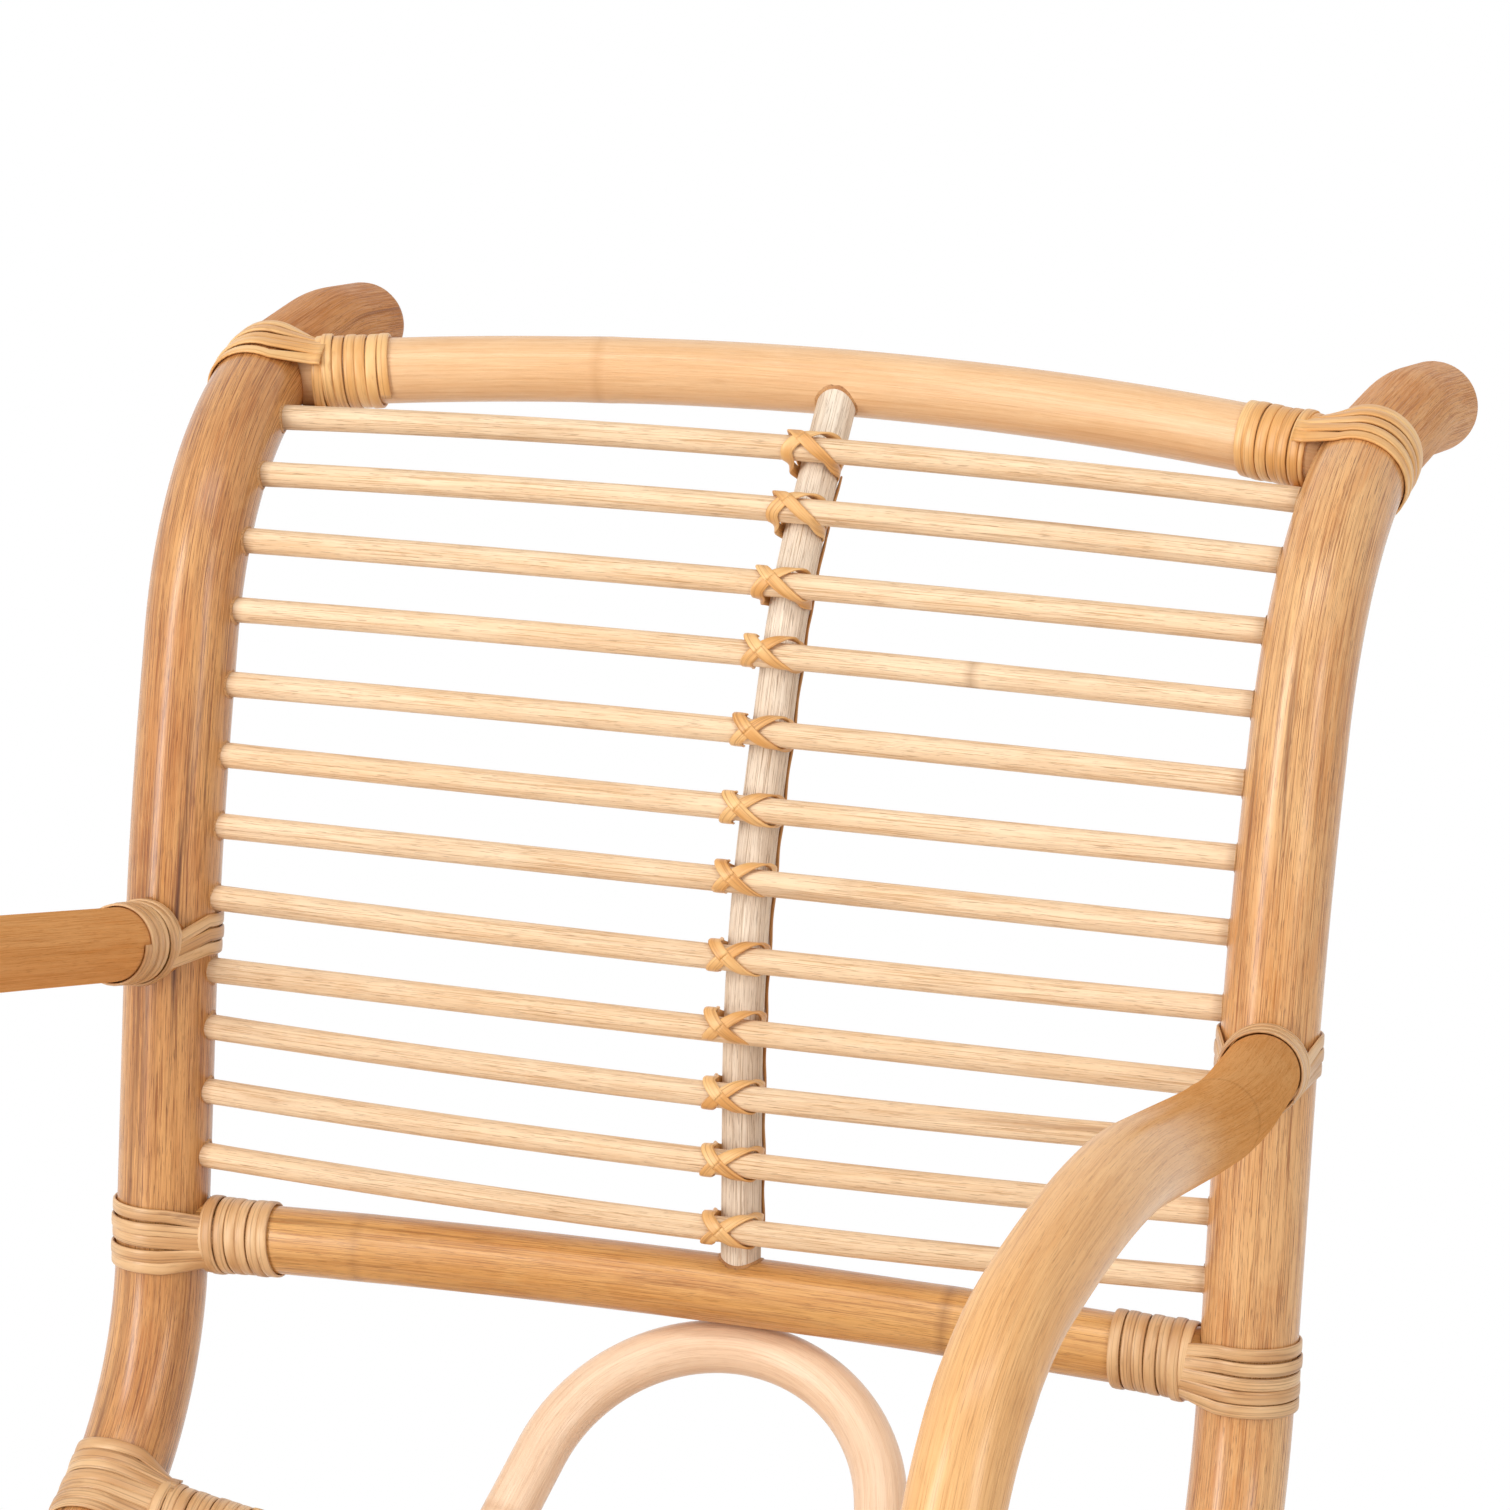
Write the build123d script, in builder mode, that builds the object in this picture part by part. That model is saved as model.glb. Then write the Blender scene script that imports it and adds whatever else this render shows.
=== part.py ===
"""Rattan rocking armchair: bent cane poles, let-in slats and peel bindings.

Frame: +X is the chair's left-hand side as seen from its front, -Y is its front,
+Z is up. The origin lies on the floor, under the middle of the rockers' length.
Right-hand pieces (+X) are drawn and mirrored to the left (-X). Lengths in mm.
"""

import math
import os

from build123d import *

os.makedirs("parts", exist_ok=True)

# ---------------------------------------------------------------- cane stock
pole_dia = 40.0  # side poles: scroll, back post and seat side
arm_dia = 31.5  # arms, which run on as the front legs
leg_dia = 31.5
rocker_dia = 37.0
rail_dia = 29.0
stretcher_dia = 24.0
hoop_dia = 22.4
spindle_dia = 17.2
slat_dia = 10.8
peel_width = 5.7
peel_thickness = 1.2
strap_thickness = 1.8  # strips round a pole, where they overlap
strap_step = 0.15  # every second strip round a pole stands this much higher
lash_width = 3.6
lash_thickness = 1.2

# ------------------------------------------------------------ fits and fixings
cope_gap = 0.1  # between a shaped end and the pole that it sits on
socket_gap = 0.1  # all round a cane let into a drilled hole
peel_gap = 0.3  # between a binding and the cane under it
lash_gap = 0.6  # between a lashing and the rear cane, which may be bent
touch_gap = 0.3  # between canes that only lie against each other
slat_socket_depth = 12.0
spindle_socket_depth = 8.0
socket_floor = 1.0  # between a cane's end and the bottom of its hole
screw_dia = 3.5
screw_head_dia = 7.0
screw_head_height = 2.4
screw_length = 62.0
screw_sink = 1.6  # head below the pole's surface
screw_gap = 0.1
tip_round = 13.0  # rounding of the scroll tips
wrap_start = 4.0  # from a pole's surface to the first turn on the cane
arm_strap_shift = -5.0  # strips of an arm's binding, from its joint along the post
groove_share = 0.5  # depth of the valley between two turns, of the peel's thickness

# ------------------------------------------------- side profile of the frame
post_spacing = 473.0  # between the two back posts, axis to axis
corner_y = 122.0  # where the lines of back and seat side would meet
corner_z = 355.0
seat_bend = 126.0  # radius of the bend from back to seat
seat_rise = 4.5  # degrees that the seat climbs towards the front
waist_back = 48.0  # from the corner to the waist of the back
waist_up = 286.0
waist_bend = 840.0
shoulder_back = 58.0  # from the waist to the bend under the scroll
shoulder_up = 177.5
shoulder_bend = 128.0
scroll_length = 148.0  # level run from the shoulder to the crest
crest_bend = 158.0
tip_back = 67.0  # from the crest to the end of the scroll
tip_drop = 12.0
tip_flare = 11.4  # how far each scroll tip spreads outwards

# ------------------------------------------------------------ arms and legs
arm_up = 249.6  # arm's start on the post, above the corner
arm_bow = 31.5  # how far an arm stands out at its elbow
arm_bow_middle = 27.0
arm_middle_bend = 1400.0
elbow_forward = 383.0  # from the corner to the arm's high bend
elbow_up = 377.0
elbow_bend = 295.0
knuckle_forward = 147.5  # from the elbow to the bend down into the front leg
knuckle_drop = 18.0
knuckle_bend = 90.0
knuckle_out = 20.0
foot_out = 12.0  # feet and rockers, outside the plane of the posts
foot_forward = 15.0  # front foot, ahead of the knuckle
side_setback = 6.0  # end of a seat side, behind the front leg's axis
rear_leg_top_y = 9.0
rear_foot_y = 152.0

# ---------------------------------------------------------------- rockers
overall_depth = 990.0
rocker_bend = 1150.0  # radius of the rocker's axis
contact_y = -30.0  # where the rockers touch the floor at rest

# ------------------------------------------------------- rails and stretchers
top_rail_back = 179.0  # from the corner
top_rail_bow = (30.0, 9.0)  # back and up, at the middle
lower_rail_up = 124.4
lower_rail_bow = (2.0, 5.5)
rear_rail_y = 80.0
rear_rail_bow = (-4.0, -22.0)
front_rail_back = 54.0  # behind the front legs
front_rail_bow = 6.0  # forwards, at the middle
front_stretcher_z = 215.0
rear_stretcher_z = 190.0

# ---------------------------------------------------------------- slats
back_slat_up = [452.4, 435.0, 412.2, 386.0, 356.3, 328.0, 299.0, 269.6, 239.0, 215.3, 187.8, 160.2]
back_slat_lift = [2.5, 1.5, 0.0, 0.5, 0.5, -0.5, 0.5, -0.5, 1.5, -1.0, -0.5, 0.0]
seat_slat_count = 10
seat_slat_first_y = -25.0
seat_slat_pitch = 32.5

# ------------------------------------------------------- spindle and hoop
spindle_foot_x = 22.0
spindle_waist = (13.5, 55.0, 270.0)  # across, behind and above the corner
spindle_waist_bend = 700.0
spindle_shoulder = (17.0, 110.0, 410.0)
spindle_shoulder_bend = 110.0
spindle_head_x = 10.0
hoop_x = 22.0
hoop_bend = 75.4  # radius of the arch
hoop_splay = 13.5  # degrees that each leg of the arch spreads
runner_bend = 58.0  # from the arch's legs to the runners under the seat
runner_overhang = 24.0  # past the axis of the front rail


# ================================================================ helpers
def bends_that_fit(points, bends):
    """The radii of a bent cane's corners, no larger than its straight runs allow."""
    runs = [(Vector(b) - Vector(a)) for a, b in zip(points, points[1:])]
    turns = [math.radians(a.get_angle(b)) for a, b in zip(runs, runs[1:])]
    tangents = [radius * math.tan(turn / 2) for radius, turn in zip(bends, turns)]
    room = []
    for index, run in enumerate(runs):
        taken = sum(tangents[max(index - 1, 0) : index + 1])
        room.append(min(1.0, 0.98 * run.length / taken) if taken else 1.0)
    return [radius * min(room[i], room[i + 1]) for i, radius in enumerate(bends)]


def route(points, bends=()):
    """Axis of a cane: straight runs, with an arc of its own radius at each corner."""
    with BuildLine() as path:
        if bends:
            FilletPolyline(*points, radius=bends_that_fit(points, bends))
        else:
            Line(*points)
    return path.wires()[0]


def round_cane(axis, diameter):
    """A round cane along an axis."""
    with BuildPart() as piece:
        with BuildLine():
            add(axis)
        across = (axis % 0).cross(Vector(0, 0.3, 1))
        with BuildSketch(Plane(origin=axis @ 0, x_dir=across, z_dir=axis % 0)):
            Circle(diameter / 2)
        sweep()
    return piece.part


def cross_axis(anchor, bow, reach):
    """Axis of a cane across the chair, from x = reach to x = -reach.

    It is one arc through the anchor, its mirror image and the crown, which lies
    back and up from between them by the bow.
    """
    depth = math.hypot(*bow)
    radius = (anchor[0] ** 2 + depth**2) / (2 * depth)
    share = 1 - (radius - math.sqrt(radius**2 - reach**2)) / depth
    end = (anchor[1] + bow[0] * share, anchor[2] + bow[1] * share)
    crown = (0, anchor[1] + bow[0], anchor[2] + bow[1])
    with BuildLine() as path:
        ThreePointArc((reach, *end), crown, (-reach, *end))
    return path.wires()[0]


def largest(part):
    """The main solid of a part, without the offcuts of a shaped end."""
    return part.solids().sort_by(SortBy.VOLUME)[-1]


def rounded_end(part, point, radius):
    """The part with the rim of its end nearest to a point rounded."""
    rims = part.edges().filter_by(GeomType.CIRCLE)
    rim = min(rims, key=lambda edge: (edge.arc_center - Vector(point)).length)
    return part.fillet(radius, [rim])


def fraction_at(axis, index, value, low=0.0, high=1.0):
    """Fraction of an axis where a falling coordinate (1 is Y, 2 is Z) meets a value."""
    for _ in range(40):
        middle = (low + high) / 2
        if tuple(axis @ middle)[index] > value:
            low = middle
        else:
            high = middle
    return (low + high) / 2


def along(start, end, z):
    """The point at height z on the straight line between two points."""
    share = (z - start[2]) / (end[2] - start[2])
    return tuple(a + (b - a) * share for a, b in zip(start, end))


def at_length(axis, length):
    """Point and direction at a distance from an axis's start."""
    point = axis.position_at(length, position_mode=PositionMode.LENGTH)
    direction = axis.tangent_at(length, position_mode=PositionMode.LENGTH)
    return point, direction


def sleeve(axis, start, turns, diameter):
    """Turns of peel side by side on a cane, from a distance along its axis."""
    middle, direction = at_length(axis, start + turns * peel_width / 2)
    side = direction.cross(Vector(0.3, 0.5, 0.8)).normalized()
    crest = diameter / 2 + peel_thickness
    valley = crest - peel_thickness * groove_share
    with BuildPart() as piece:
        with BuildSketch(Plane(origin=middle, x_dir=direction, z_dir=side)):
            with BuildLine():
                for turn in range(turns):
                    x = (turn - turns / 2) * peel_width
                    ThreePointArc((x, valley), (x + peel_width / 2, crest), (x + peel_width, valley))
                end = turns * peel_width / 2
                Polyline((end, valley), (end, 0), (-end, 0), (-end, valley))
            make_face()
        revolve(axis=Axis(middle, direction))
    return piece.part


def strap(host_point, host_direction, outward, host_dia, cane_dia, proud):
    """A strip of peel round a host pole, drawn together on a cane that butts on it."""
    axis = Vector(host_direction).normalized()
    towards = (Vector(outward) - axis * Vector(outward).dot(axis)).normalized()
    radius = host_dia / 2 + strap_thickness + proud
    end_x = host_dia / 2 + wrap_start + peel_width / 2 + proud
    end_y = cane_dia / 2 + peel_thickness / 2 + proud
    angle = math.atan2(end_y, end_x) + math.acos(radius / math.hypot(end_x, end_y))
    leave = (radius * math.cos(angle), radius * math.sin(angle))
    with BuildPart() as piece:
        with BuildSketch(Plane(origin=host_point, x_dir=towards, z_dir=axis)):
            with BuildLine():
                ThreePointArc(leave, (-radius, 0), (leave[0], -leave[1]))
                Polyline((leave[0], -leave[1]), (end_x, -end_y), (end_x, end_y), leave)
            make_face()
        extrude(amount=(peel_width + touch_gap) / 2, both=True)
    return piece.part


def binding(host, host_fraction, host_dia, cane_axis, cane_dia, rows, turns, shift=0.0):
    """Peel on one butt joint: rows of strip round the host and turns on the cane."""
    outward = cane_axis % 0
    middle = host_fraction * host.length + shift
    with BuildPart() as piece:
        add(sleeve(cane_axis, host_dia / 2 + wrap_start, turns, cane_dia))
        for row in range(rows):
            point, direction = at_length(host, middle + (row - (rows - 1) / 2) * peel_width)
            proud = strap_step * (row % 2)
            add(strap(point, direction, outward, host_dia, cane_dia, proud))
    return piece.part


def fitted(wrap, cutters):
    """A binding with room for the canes that run through it."""
    with BuildPart() as piece:
        add(wrap)
        add(cutters, mode=Mode.SUBTRACT)
    return largest(piece.part)


def screw(origin, outward, host_dia, gap=0.0):
    """A screw through a host pole into the end of a cane, or its hole if a gap is given."""
    seat = screw_sink + screw_head_height - host_dia / 2
    axis = Vector(outward).normalized()
    head_height = screw_head_height + (screw_sink + pole_dia / 2 if gap else 0)
    with BuildPart() as piece:
        with BuildSketch(Plane(origin=Vector(origin) + axis * seat, z_dir=axis)):
            Circle(screw_dia / 2 + gap)
        extrude(amount=screw_length + gap)
        with BuildSketch(Plane(origin=Vector(origin) + axis * (seat + gap), z_dir=-axis)):
            Circle(screw_head_dia / 2 + gap)
        extrude(amount=head_height + gap)
    return piece.part


def lashing_band(centre, gap_direction, diagonal, front_dia, rear_dia, distance):
    """One diagonal strip round two canes that cross at right angles."""
    stretch = math.sqrt(2)  # a cane cut at 45 degrees
    front = front_dia / 2 + lash_thickness
    rear = rear_dia / 2 + lash_thickness
    lean = math.degrees(math.asin((front - rear) / distance))
    near = (stretch * front * math.cos(math.radians(lean)), front * math.sin(math.radians(lean)))
    far = (
        stretch * rear * math.cos(math.radians(lean)),
        distance + rear * math.sin(math.radians(lean)),
    )
    normal = Vector(diagonal).cross(Vector(gap_direction))
    with BuildPart() as piece:
        with BuildSketch(Plane(origin=centre, x_dir=diagonal, z_dir=normal)):
            with BuildLine():
                EllipticalCenterArc((0, 0), stretch * front, front, 180 - lean, arc_size=180 + 2 * lean)
                Line(near, far)
                EllipticalCenterArc((0, distance), stretch * rear, rear, lean, arc_size=180 - 2 * lean)
                Line((-far[0], far[1]), (-near[0], near[1]))
            make_face()
        extrude(amount=lash_width / 2, both=True)
    return piece.part


def lashing(front_dia, rear_dia):
    """An X of peel round two canes that cross: one along X, one behind it along Y.

    The front cane's axis passes through the origin, and the rear one lies below it.
    """
    distance = (front_dia + rear_dia) / 2 + touch_gap
    length = 4 * (front_dia + rear_dia)
    with BuildPart() as piece:
        for diagonal in (Vector(1, 1, 0), Vector(1, -1, 0)):
            add(lashing_band((0, 0, 0), Vector(0, 0, -1), diagonal, front_dia, rear_dia, distance))
        with BuildSketch(Plane.YZ):
            Circle(front_dia / 2 + peel_gap)
        extrude(amount=length / 2, both=True, mode=Mode.SUBTRACT)
        with BuildSketch(Plane.XZ):
            with Locations((0, -distance)):
                Circle(rear_dia / 2 + lash_gap)
        extrude(amount=length / 2, both=True, mode=Mode.SUBTRACT)
    return piece.part


def save(piece, name):
    """Label a finished piece and write its file."""
    piece.part.label = name
    export_step(piece.part, f"parts/{name}.step")


# ===================================================== axes of the side frames
half = post_spacing / 2
seat_slope = math.tan(math.radians(seat_rise))
seat_tilt = math.cos(math.radians(seat_rise))


def seat_z(y):
    """Height of the seat side's axis at a distance y."""
    return corner_z + (corner_y - y) * seat_slope


def rocker_z(y):
    """Height of the rocker's axis at a distance y."""
    drop = math.sqrt(rocker_bend**2 - (y - contact_y) ** 2)
    return rocker_dia / 2 + rocker_bend - drop


waist = (half, corner_y + waist_back, corner_z + waist_up)
scroll_z = waist[2] + shoulder_up
shoulder_y = waist[1] + shoulder_back
crest_y = shoulder_y + scroll_length
tip_y = crest_y + tip_back


def flare_at(y):
    """How far the post has spread outwards at a distance y behind its waist."""
    return tip_flare * (y - waist[1]) / (tip_y - waist[1])


tip = (half + tip_flare, tip_y, scroll_z - tip_drop)
crest = (half + flare_at(crest_y), crest_y, scroll_z)
shoulder = (half + flare_at(shoulder_y), shoulder_y, scroll_z)
corner = (half, corner_y, corner_z)

elbow = (half + arm_bow, corner_y - elbow_forward, corner_z + elbow_up)
knuckle = (half + knuckle_out, elbow[1] - knuckle_forward, elbow[2] - knuckle_drop)
front_foot_y = knuckle[1] - foot_forward
front_foot = (half + foot_out, front_foot_y, rocker_z(front_foot_y))
front_joint = along(front_foot, knuckle, seat_z(knuckle[1]))
side_end = (front_joint[0], front_joint[1] + side_setback, seat_z(front_joint[1] + side_setback))

pole_points = [tip, crest, shoulder, waist, corner, side_end]
pole_bends = [crest_bend, shoulder_bend, waist_bend, seat_bend]
pole_axis = route(pole_points, pole_bends)
crest_fraction = fraction_at(pole_axis, 1, crest_y)
bend_fraction = fraction_at(pole_axis, 1, corner_y)


def at_height(z):
    """Fraction of the pole's axis at a height on the back post."""
    return fraction_at(pole_axis, 2, z, crest_fraction, bend_fraction)


arm_fraction = at_height(corner_z + arm_up)
arm_start = tuple(pole_axis @ arm_fraction)
arm_middle = tuple((a + b) / 2 for a, b in zip(arm_start, elbow))
arm_middle = (half + arm_bow_middle, *arm_middle[1:])
arm_points = [arm_start, arm_middle, elbow, knuckle, front_foot]
arm_bends = [arm_middle_bend, elbow_bend, knuckle_bend]
arm_axis = route(arm_points, arm_bends)
front_leg_axis = route([knuckle, front_foot])

rear_leg_fraction = fraction_at(pole_axis, 1, rear_leg_top_y)
rear_leg_top = tuple(pole_axis @ rear_leg_fraction)
rear_foot = (half + foot_out, rear_foot_y, rocker_z(rear_foot_y))
rear_leg_axis = route([rear_leg_top, rear_foot])

rocker_reach = (overall_depth - rocker_dia) / 2
rocker_x = half + foot_out
with BuildLine() as rocker_line:
    ThreePointArc(
        (rocker_x, rocker_reach, rocker_z(rocker_reach)),
        (rocker_x, contact_y, rocker_z(contact_y)),
        (rocker_x, -rocker_reach, rocker_z(-rocker_reach)),
    )
rocker_axis = rocker_line.wires()[0]

# ============================================================ axes of the rails
top_rail_fraction = fraction_at(pole_axis, 1, corner_y + top_rail_back)
lower_rail_fraction = at_height(corner_z + lower_rail_up)
rear_rail_fraction = fraction_at(pole_axis, 1, rear_rail_y)
front_rail_fraction = fraction_at(pole_axis, 1, front_joint[1] + front_rail_back)


def rail_axis(fraction, bow):
    """Axis of a rail between the axes of the side poles."""
    anchor = tuple(pole_axis @ fraction)
    return cross_axis(anchor, bow, anchor[0])


top_rail_axis = rail_axis(top_rail_fraction, top_rail_bow)
lower_rail_axis = rail_axis(lower_rail_fraction, lower_rail_bow)
rear_rail_axis = rail_axis(rear_rail_fraction, rear_rail_bow)
front_rail_axis = rail_axis(front_rail_fraction, (-front_rail_bow, front_rail_bow * seat_slope))

front_stretcher_end = along(front_foot, knuckle, front_stretcher_z)
rear_stretcher_end = along(rear_foot, rear_leg_top, rear_stretcher_z)


def stretcher_axis(end):
    """Straight axis from a leg's axis to the opposite leg's."""
    return route([end, (-end[0], end[1], end[2])])


front_stretcher_axis = stretcher_axis(front_stretcher_end)
rear_stretcher_axis = stretcher_axis(rear_stretcher_end)

# ========================================================== axis of the spindle
lower_crown = lower_rail_axis @ 0.5
upper_crown = top_rail_axis @ 0.5
spindle_points = [
    (spindle_foot_x, lower_crown.Y, lower_crown.Z),
    (spindle_waist[0], corner_y + spindle_waist[1], corner_z + spindle_waist[2]),
    (spindle_shoulder[0], corner_y + spindle_shoulder[1], corner_z + spindle_shoulder[2]),
    (spindle_head_x, upper_crown.Y, upper_crown.Z),
]
spindle_bends = [spindle_waist_bend, spindle_shoulder_bend]


def spindle_axis(inset):
    """Axis of the spindle, each end short of the axis of its rail by the inset."""
    points = [Vector(point) for point in spindle_points]
    points[0] += (points[1] - points[0]).normalized() * inset
    points[-1] += (points[-2] - points[-1]).normalized() * inset
    return route([tuple(point) for point in points], spindle_bends)


spindle_path = spindle_axis(rail_dia / 2 - spindle_socket_depth)
spindle_hole_path = spindle_axis(rail_dia / 2 - spindle_socket_depth - socket_floor)
spindle_gap = slat_dia / 2 + spindle_dia / 2 + touch_gap


def slat_on_spindle(fraction):
    """Where a slat's axis lies that touches the spindle's front at a fraction."""
    direction = spindle_path % fraction
    forward = Vector(0, -direction.Z, direction.Y).normalized()
    return spindle_path @ fraction + forward * spindle_gap


def crossing_at(z):
    """Fraction of the spindle at which a slat crosses it at a height."""
    low = 0.0
    high = 1.0
    for _ in range(30):
        middle = (low + high) / 2
        if slat_on_spindle(middle).Z < z:
            low = middle
        else:
            high = middle
    return low


# =========================================================== axes of the slats
back_slats = []
for up, lift in zip(back_slat_up, back_slat_lift):
    anchor = tuple(pole_axis @ at_height(corner_z + up))
    crossing = crossing_at(anchor[2] + lift)
    bow = (slat_on_spindle(crossing).Y - anchor[1], lift)
    back_slats.append((anchor, bow, crossing))

seat_slat_drop = (rail_dia - slat_dia) / 2  # lets the runners touch slats and front rail
seat_slats = []
for index in range(seat_slat_count):
    y = seat_slat_first_y - index * seat_slat_pitch
    side = pole_axis @ fraction_at(pole_axis, 1, y)
    seat_slats.append((side.X, y, side.Z - seat_slat_drop / seat_tilt))

# ============================================================ axis of the hoop
run_under = slat_dia / 2 + hoop_dia / 2 + touch_gap
beside_rail = rail_dia / 2 + hoop_dia / 2 + touch_gap
apex = (hoop_x, lower_crown.Y, lower_crown.Z - beside_rail)


def runner_z(y):
    """Height of the runners' axis at a distance y, under the seat slats."""
    return seat_z(y) - (seat_slat_drop + run_under) / seat_tilt


splay = math.radians(hoop_splay)
leg_spread = hoop_bend * math.cos(splay)
arch_depth = hoop_bend * (1 - math.sin(splay))

# the legs slope forwards so that they just pass the front of the seat's rear rail
high_side = hoop_x + leg_spread + arch_depth * math.tan(splay)
rail_share = fraction_at(rear_rail_axis, 0, high_side)
rail_point = rear_rail_axis @ rail_share
rail_away = math.hypot(rail_point.Y - apex[1], rail_point.Z - apex[2])
slope = math.atan2(apex[1] - rail_point.Y, apex[2] - rail_point.Z)
slope += math.asin(beside_rail / rail_away)


def down_slope(across, length):
    """Point of the arch's plane, a length down its slope from the apex."""
    return (
        hoop_x + across,
        apex[1] - length * math.sin(slope),
        apex[2] - length * math.cos(slope),
    )


# length of the slope down to the height of the runners
turn_length = (apex[2] - runner_z(apex[1])) / (math.cos(slope) + math.sin(slope) * seat_slope)
turn_spread = leg_spread + (turn_length - arch_depth) * math.tan(splay)
front_rail_middle = front_rail_axis @ 0.5
runner_end_y = front_rail_middle.Y - runner_overhang


def hoop_side(sign):
    """Corners of one half of the hoop, from the front end of its runner upwards."""
    turn = down_slope(sign * turn_spread, turn_length)
    front = (turn[0], runner_end_y, runner_z(runner_end_y))
    return front, turn, down_slope(sign * leg_spread, arch_depth)


with BuildLine() as hoop_line:
    right_side = hoop_side(1)
    left_side = hoop_side(-1)
    FilletPolyline(*right_side, radius=runner_bend)
    ThreePointArc(right_side[2], down_slope(0, 0), left_side[2])
    FilletPolyline(*reversed(left_side), radius=runner_bend)
hoop_axis = hoop_line.wires()[0]

# ================================================================= cutters
pole_cutter = round_cane(pole_axis, pole_dia + 2 * cope_gap)
pole_cutter_left = mirror(pole_cutter, about=Plane.YZ)
front_leg_cutter = round_cane(front_leg_axis, arm_dia + 2 * cope_gap)
rocker_cutter = round_cane(rocker_axis, rocker_dia + 2 * cope_gap)
rear_leg_cutter = round_cane(rear_leg_axis, leg_dia + 2 * cope_gap)

joints = {
    "top_rail": (pole_axis @ top_rail_fraction, top_rail_axis % 0, pole_dia),
    "lower_rail": (pole_axis @ lower_rail_fraction, lower_rail_axis % 0, pole_dia),
    "rear_rail": (pole_axis @ rear_rail_fraction, rear_rail_axis % 0, pole_dia),
    "front_rail": (pole_axis @ front_rail_fraction, front_rail_axis % 0, pole_dia),
    "arm": (arm_start, arm_axis % 0, pole_dia),
    "rear_leg": (rear_leg_top, rear_leg_axis % 0, pole_dia),
    "side": (front_joint, Vector(0, 1, -seat_slope), arm_dia),
    "front_foot": (front_foot, front_leg_axis % 1 * -1, rocker_dia),
    "rear_foot": (rear_foot, rear_leg_axis % 1 * -1, rocker_dia),
    "front_stretcher": (front_stretcher_end, Vector(-1, 0, 0), arm_dia),
    "rear_stretcher": (rear_stretcher_end, Vector(-1, 0, 0), leg_dia),
}
screw_holes = {name: screw(*place, gap=screw_gap) for name, place in joints.items()}


def holes(*names):
    """Screw holes of the named joints on the right."""
    return [screw_holes[name] for name in names]


def holes_both(name):
    """Screw holes of a joint on the right and on the left."""
    return [screw_holes[name], mirror(screw_holes[name], about=Plane.YZ)]


# ================================================================ side poles
back_slat_holes = []
for anchor, bow, crossing in back_slats:
    reach = anchor[0] - pole_dia / 2 + slat_socket_depth + socket_floor
    back_slat_holes.append(round_cane(cross_axis(anchor, bow, reach), slat_dia + 2 * socket_gap))

seat_slat_holes = []
for anchor in seat_slats:
    reach = anchor[0] - pole_dia / 2 + slat_socket_depth + socket_floor
    hole_axis = route([(reach, *anchor[1:]), (-reach, *anchor[1:])])
    seat_slat_holes.append(round_cane(hole_axis, slat_dia + 2 * socket_gap))

pole_blank = rounded_end(round_cane(pole_axis, pole_dia), tip, tip_round)

with BuildPart() as side_pole_right:
    add(pole_blank)
    add(front_leg_cutter, mode=Mode.SUBTRACT)
    add(back_slat_holes + seat_slat_holes, mode=Mode.SUBTRACT)
    add(
        holes("top_rail", "lower_rail", "rear_rail", "front_rail", "arm", "rear_leg", "side"),
        mode=Mode.SUBTRACT,
    )
save(side_pole_right, "side_pole_right")

with BuildPart() as side_pole_left:
    add(mirror(side_pole_right.part, about=Plane.YZ))
save(side_pole_left, "side_pole_left")

# ============================================================ arms and legs
arm_blank = round_cane(arm_axis, arm_dia)

with BuildPart() as arm_coped:
    add(arm_blank)
    add([pole_cutter, rocker_cutter], mode=Mode.SUBTRACT)

with BuildPart() as arm_right:
    add(largest(arm_coped.part))
    add(holes("arm", "front_foot", "front_stretcher", "side"), mode=Mode.SUBTRACT)
save(arm_right, "arm_right")

with BuildPart() as arm_left:
    add(mirror(arm_right.part, about=Plane.YZ))
save(arm_left, "arm_left")

with BuildPart() as leg_coped:
    add(round_cane(rear_leg_axis, leg_dia))
    add([pole_cutter, rocker_cutter], mode=Mode.SUBTRACT)

with BuildPart() as rear_leg_right:
    add(largest(leg_coped.part))
    add(holes("rear_leg", "rear_foot", "rear_stretcher"), mode=Mode.SUBTRACT)
save(rear_leg_right, "rear_leg_right")

with BuildPart() as rear_leg_left:
    add(mirror(rear_leg_right.part, about=Plane.YZ))
save(rear_leg_left, "rear_leg_left")

# ================================================================== rockers
with BuildPart() as rocker_right:
    add(round_cane(rocker_axis, rocker_dia))
    add(holes("front_foot", "rear_foot"), mode=Mode.SUBTRACT)
    with Locations(rocker_axis @ 0, rocker_axis @ 1):
        Sphere(rocker_dia / 2)
save(rocker_right, "rocker_right")

with BuildPart() as rocker_left:
    add(mirror(rocker_right.part, about=Plane.YZ))
save(rocker_left, "rocker_left")


# ==================================================== rails and stretchers
def coped_rail(axis, diameter, end_cutters):
    """A cane across the chair with both ends shaped to the poles that it meets."""
    with BuildPart() as rail:
        add(round_cane(axis, diameter))
        add(end_cutters, mode=Mode.SUBTRACT)
    return largest(rail.part)


pole_cutters = [pole_cutter, pole_cutter_left]
spindle_hole = round_cane(spindle_hole_path, spindle_dia + 2 * socket_gap)

with BuildPart() as top_rail:
    add(coped_rail(top_rail_axis, rail_dia, pole_cutters))
    add([spindle_hole, *holes_both("top_rail")], mode=Mode.SUBTRACT)
save(top_rail, "top_rail")

with BuildPart() as lower_rail:
    add(coped_rail(lower_rail_axis, rail_dia, pole_cutters))
    add([spindle_hole, *holes_both("lower_rail")], mode=Mode.SUBTRACT)
save(lower_rail, "lower_rail")

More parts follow.
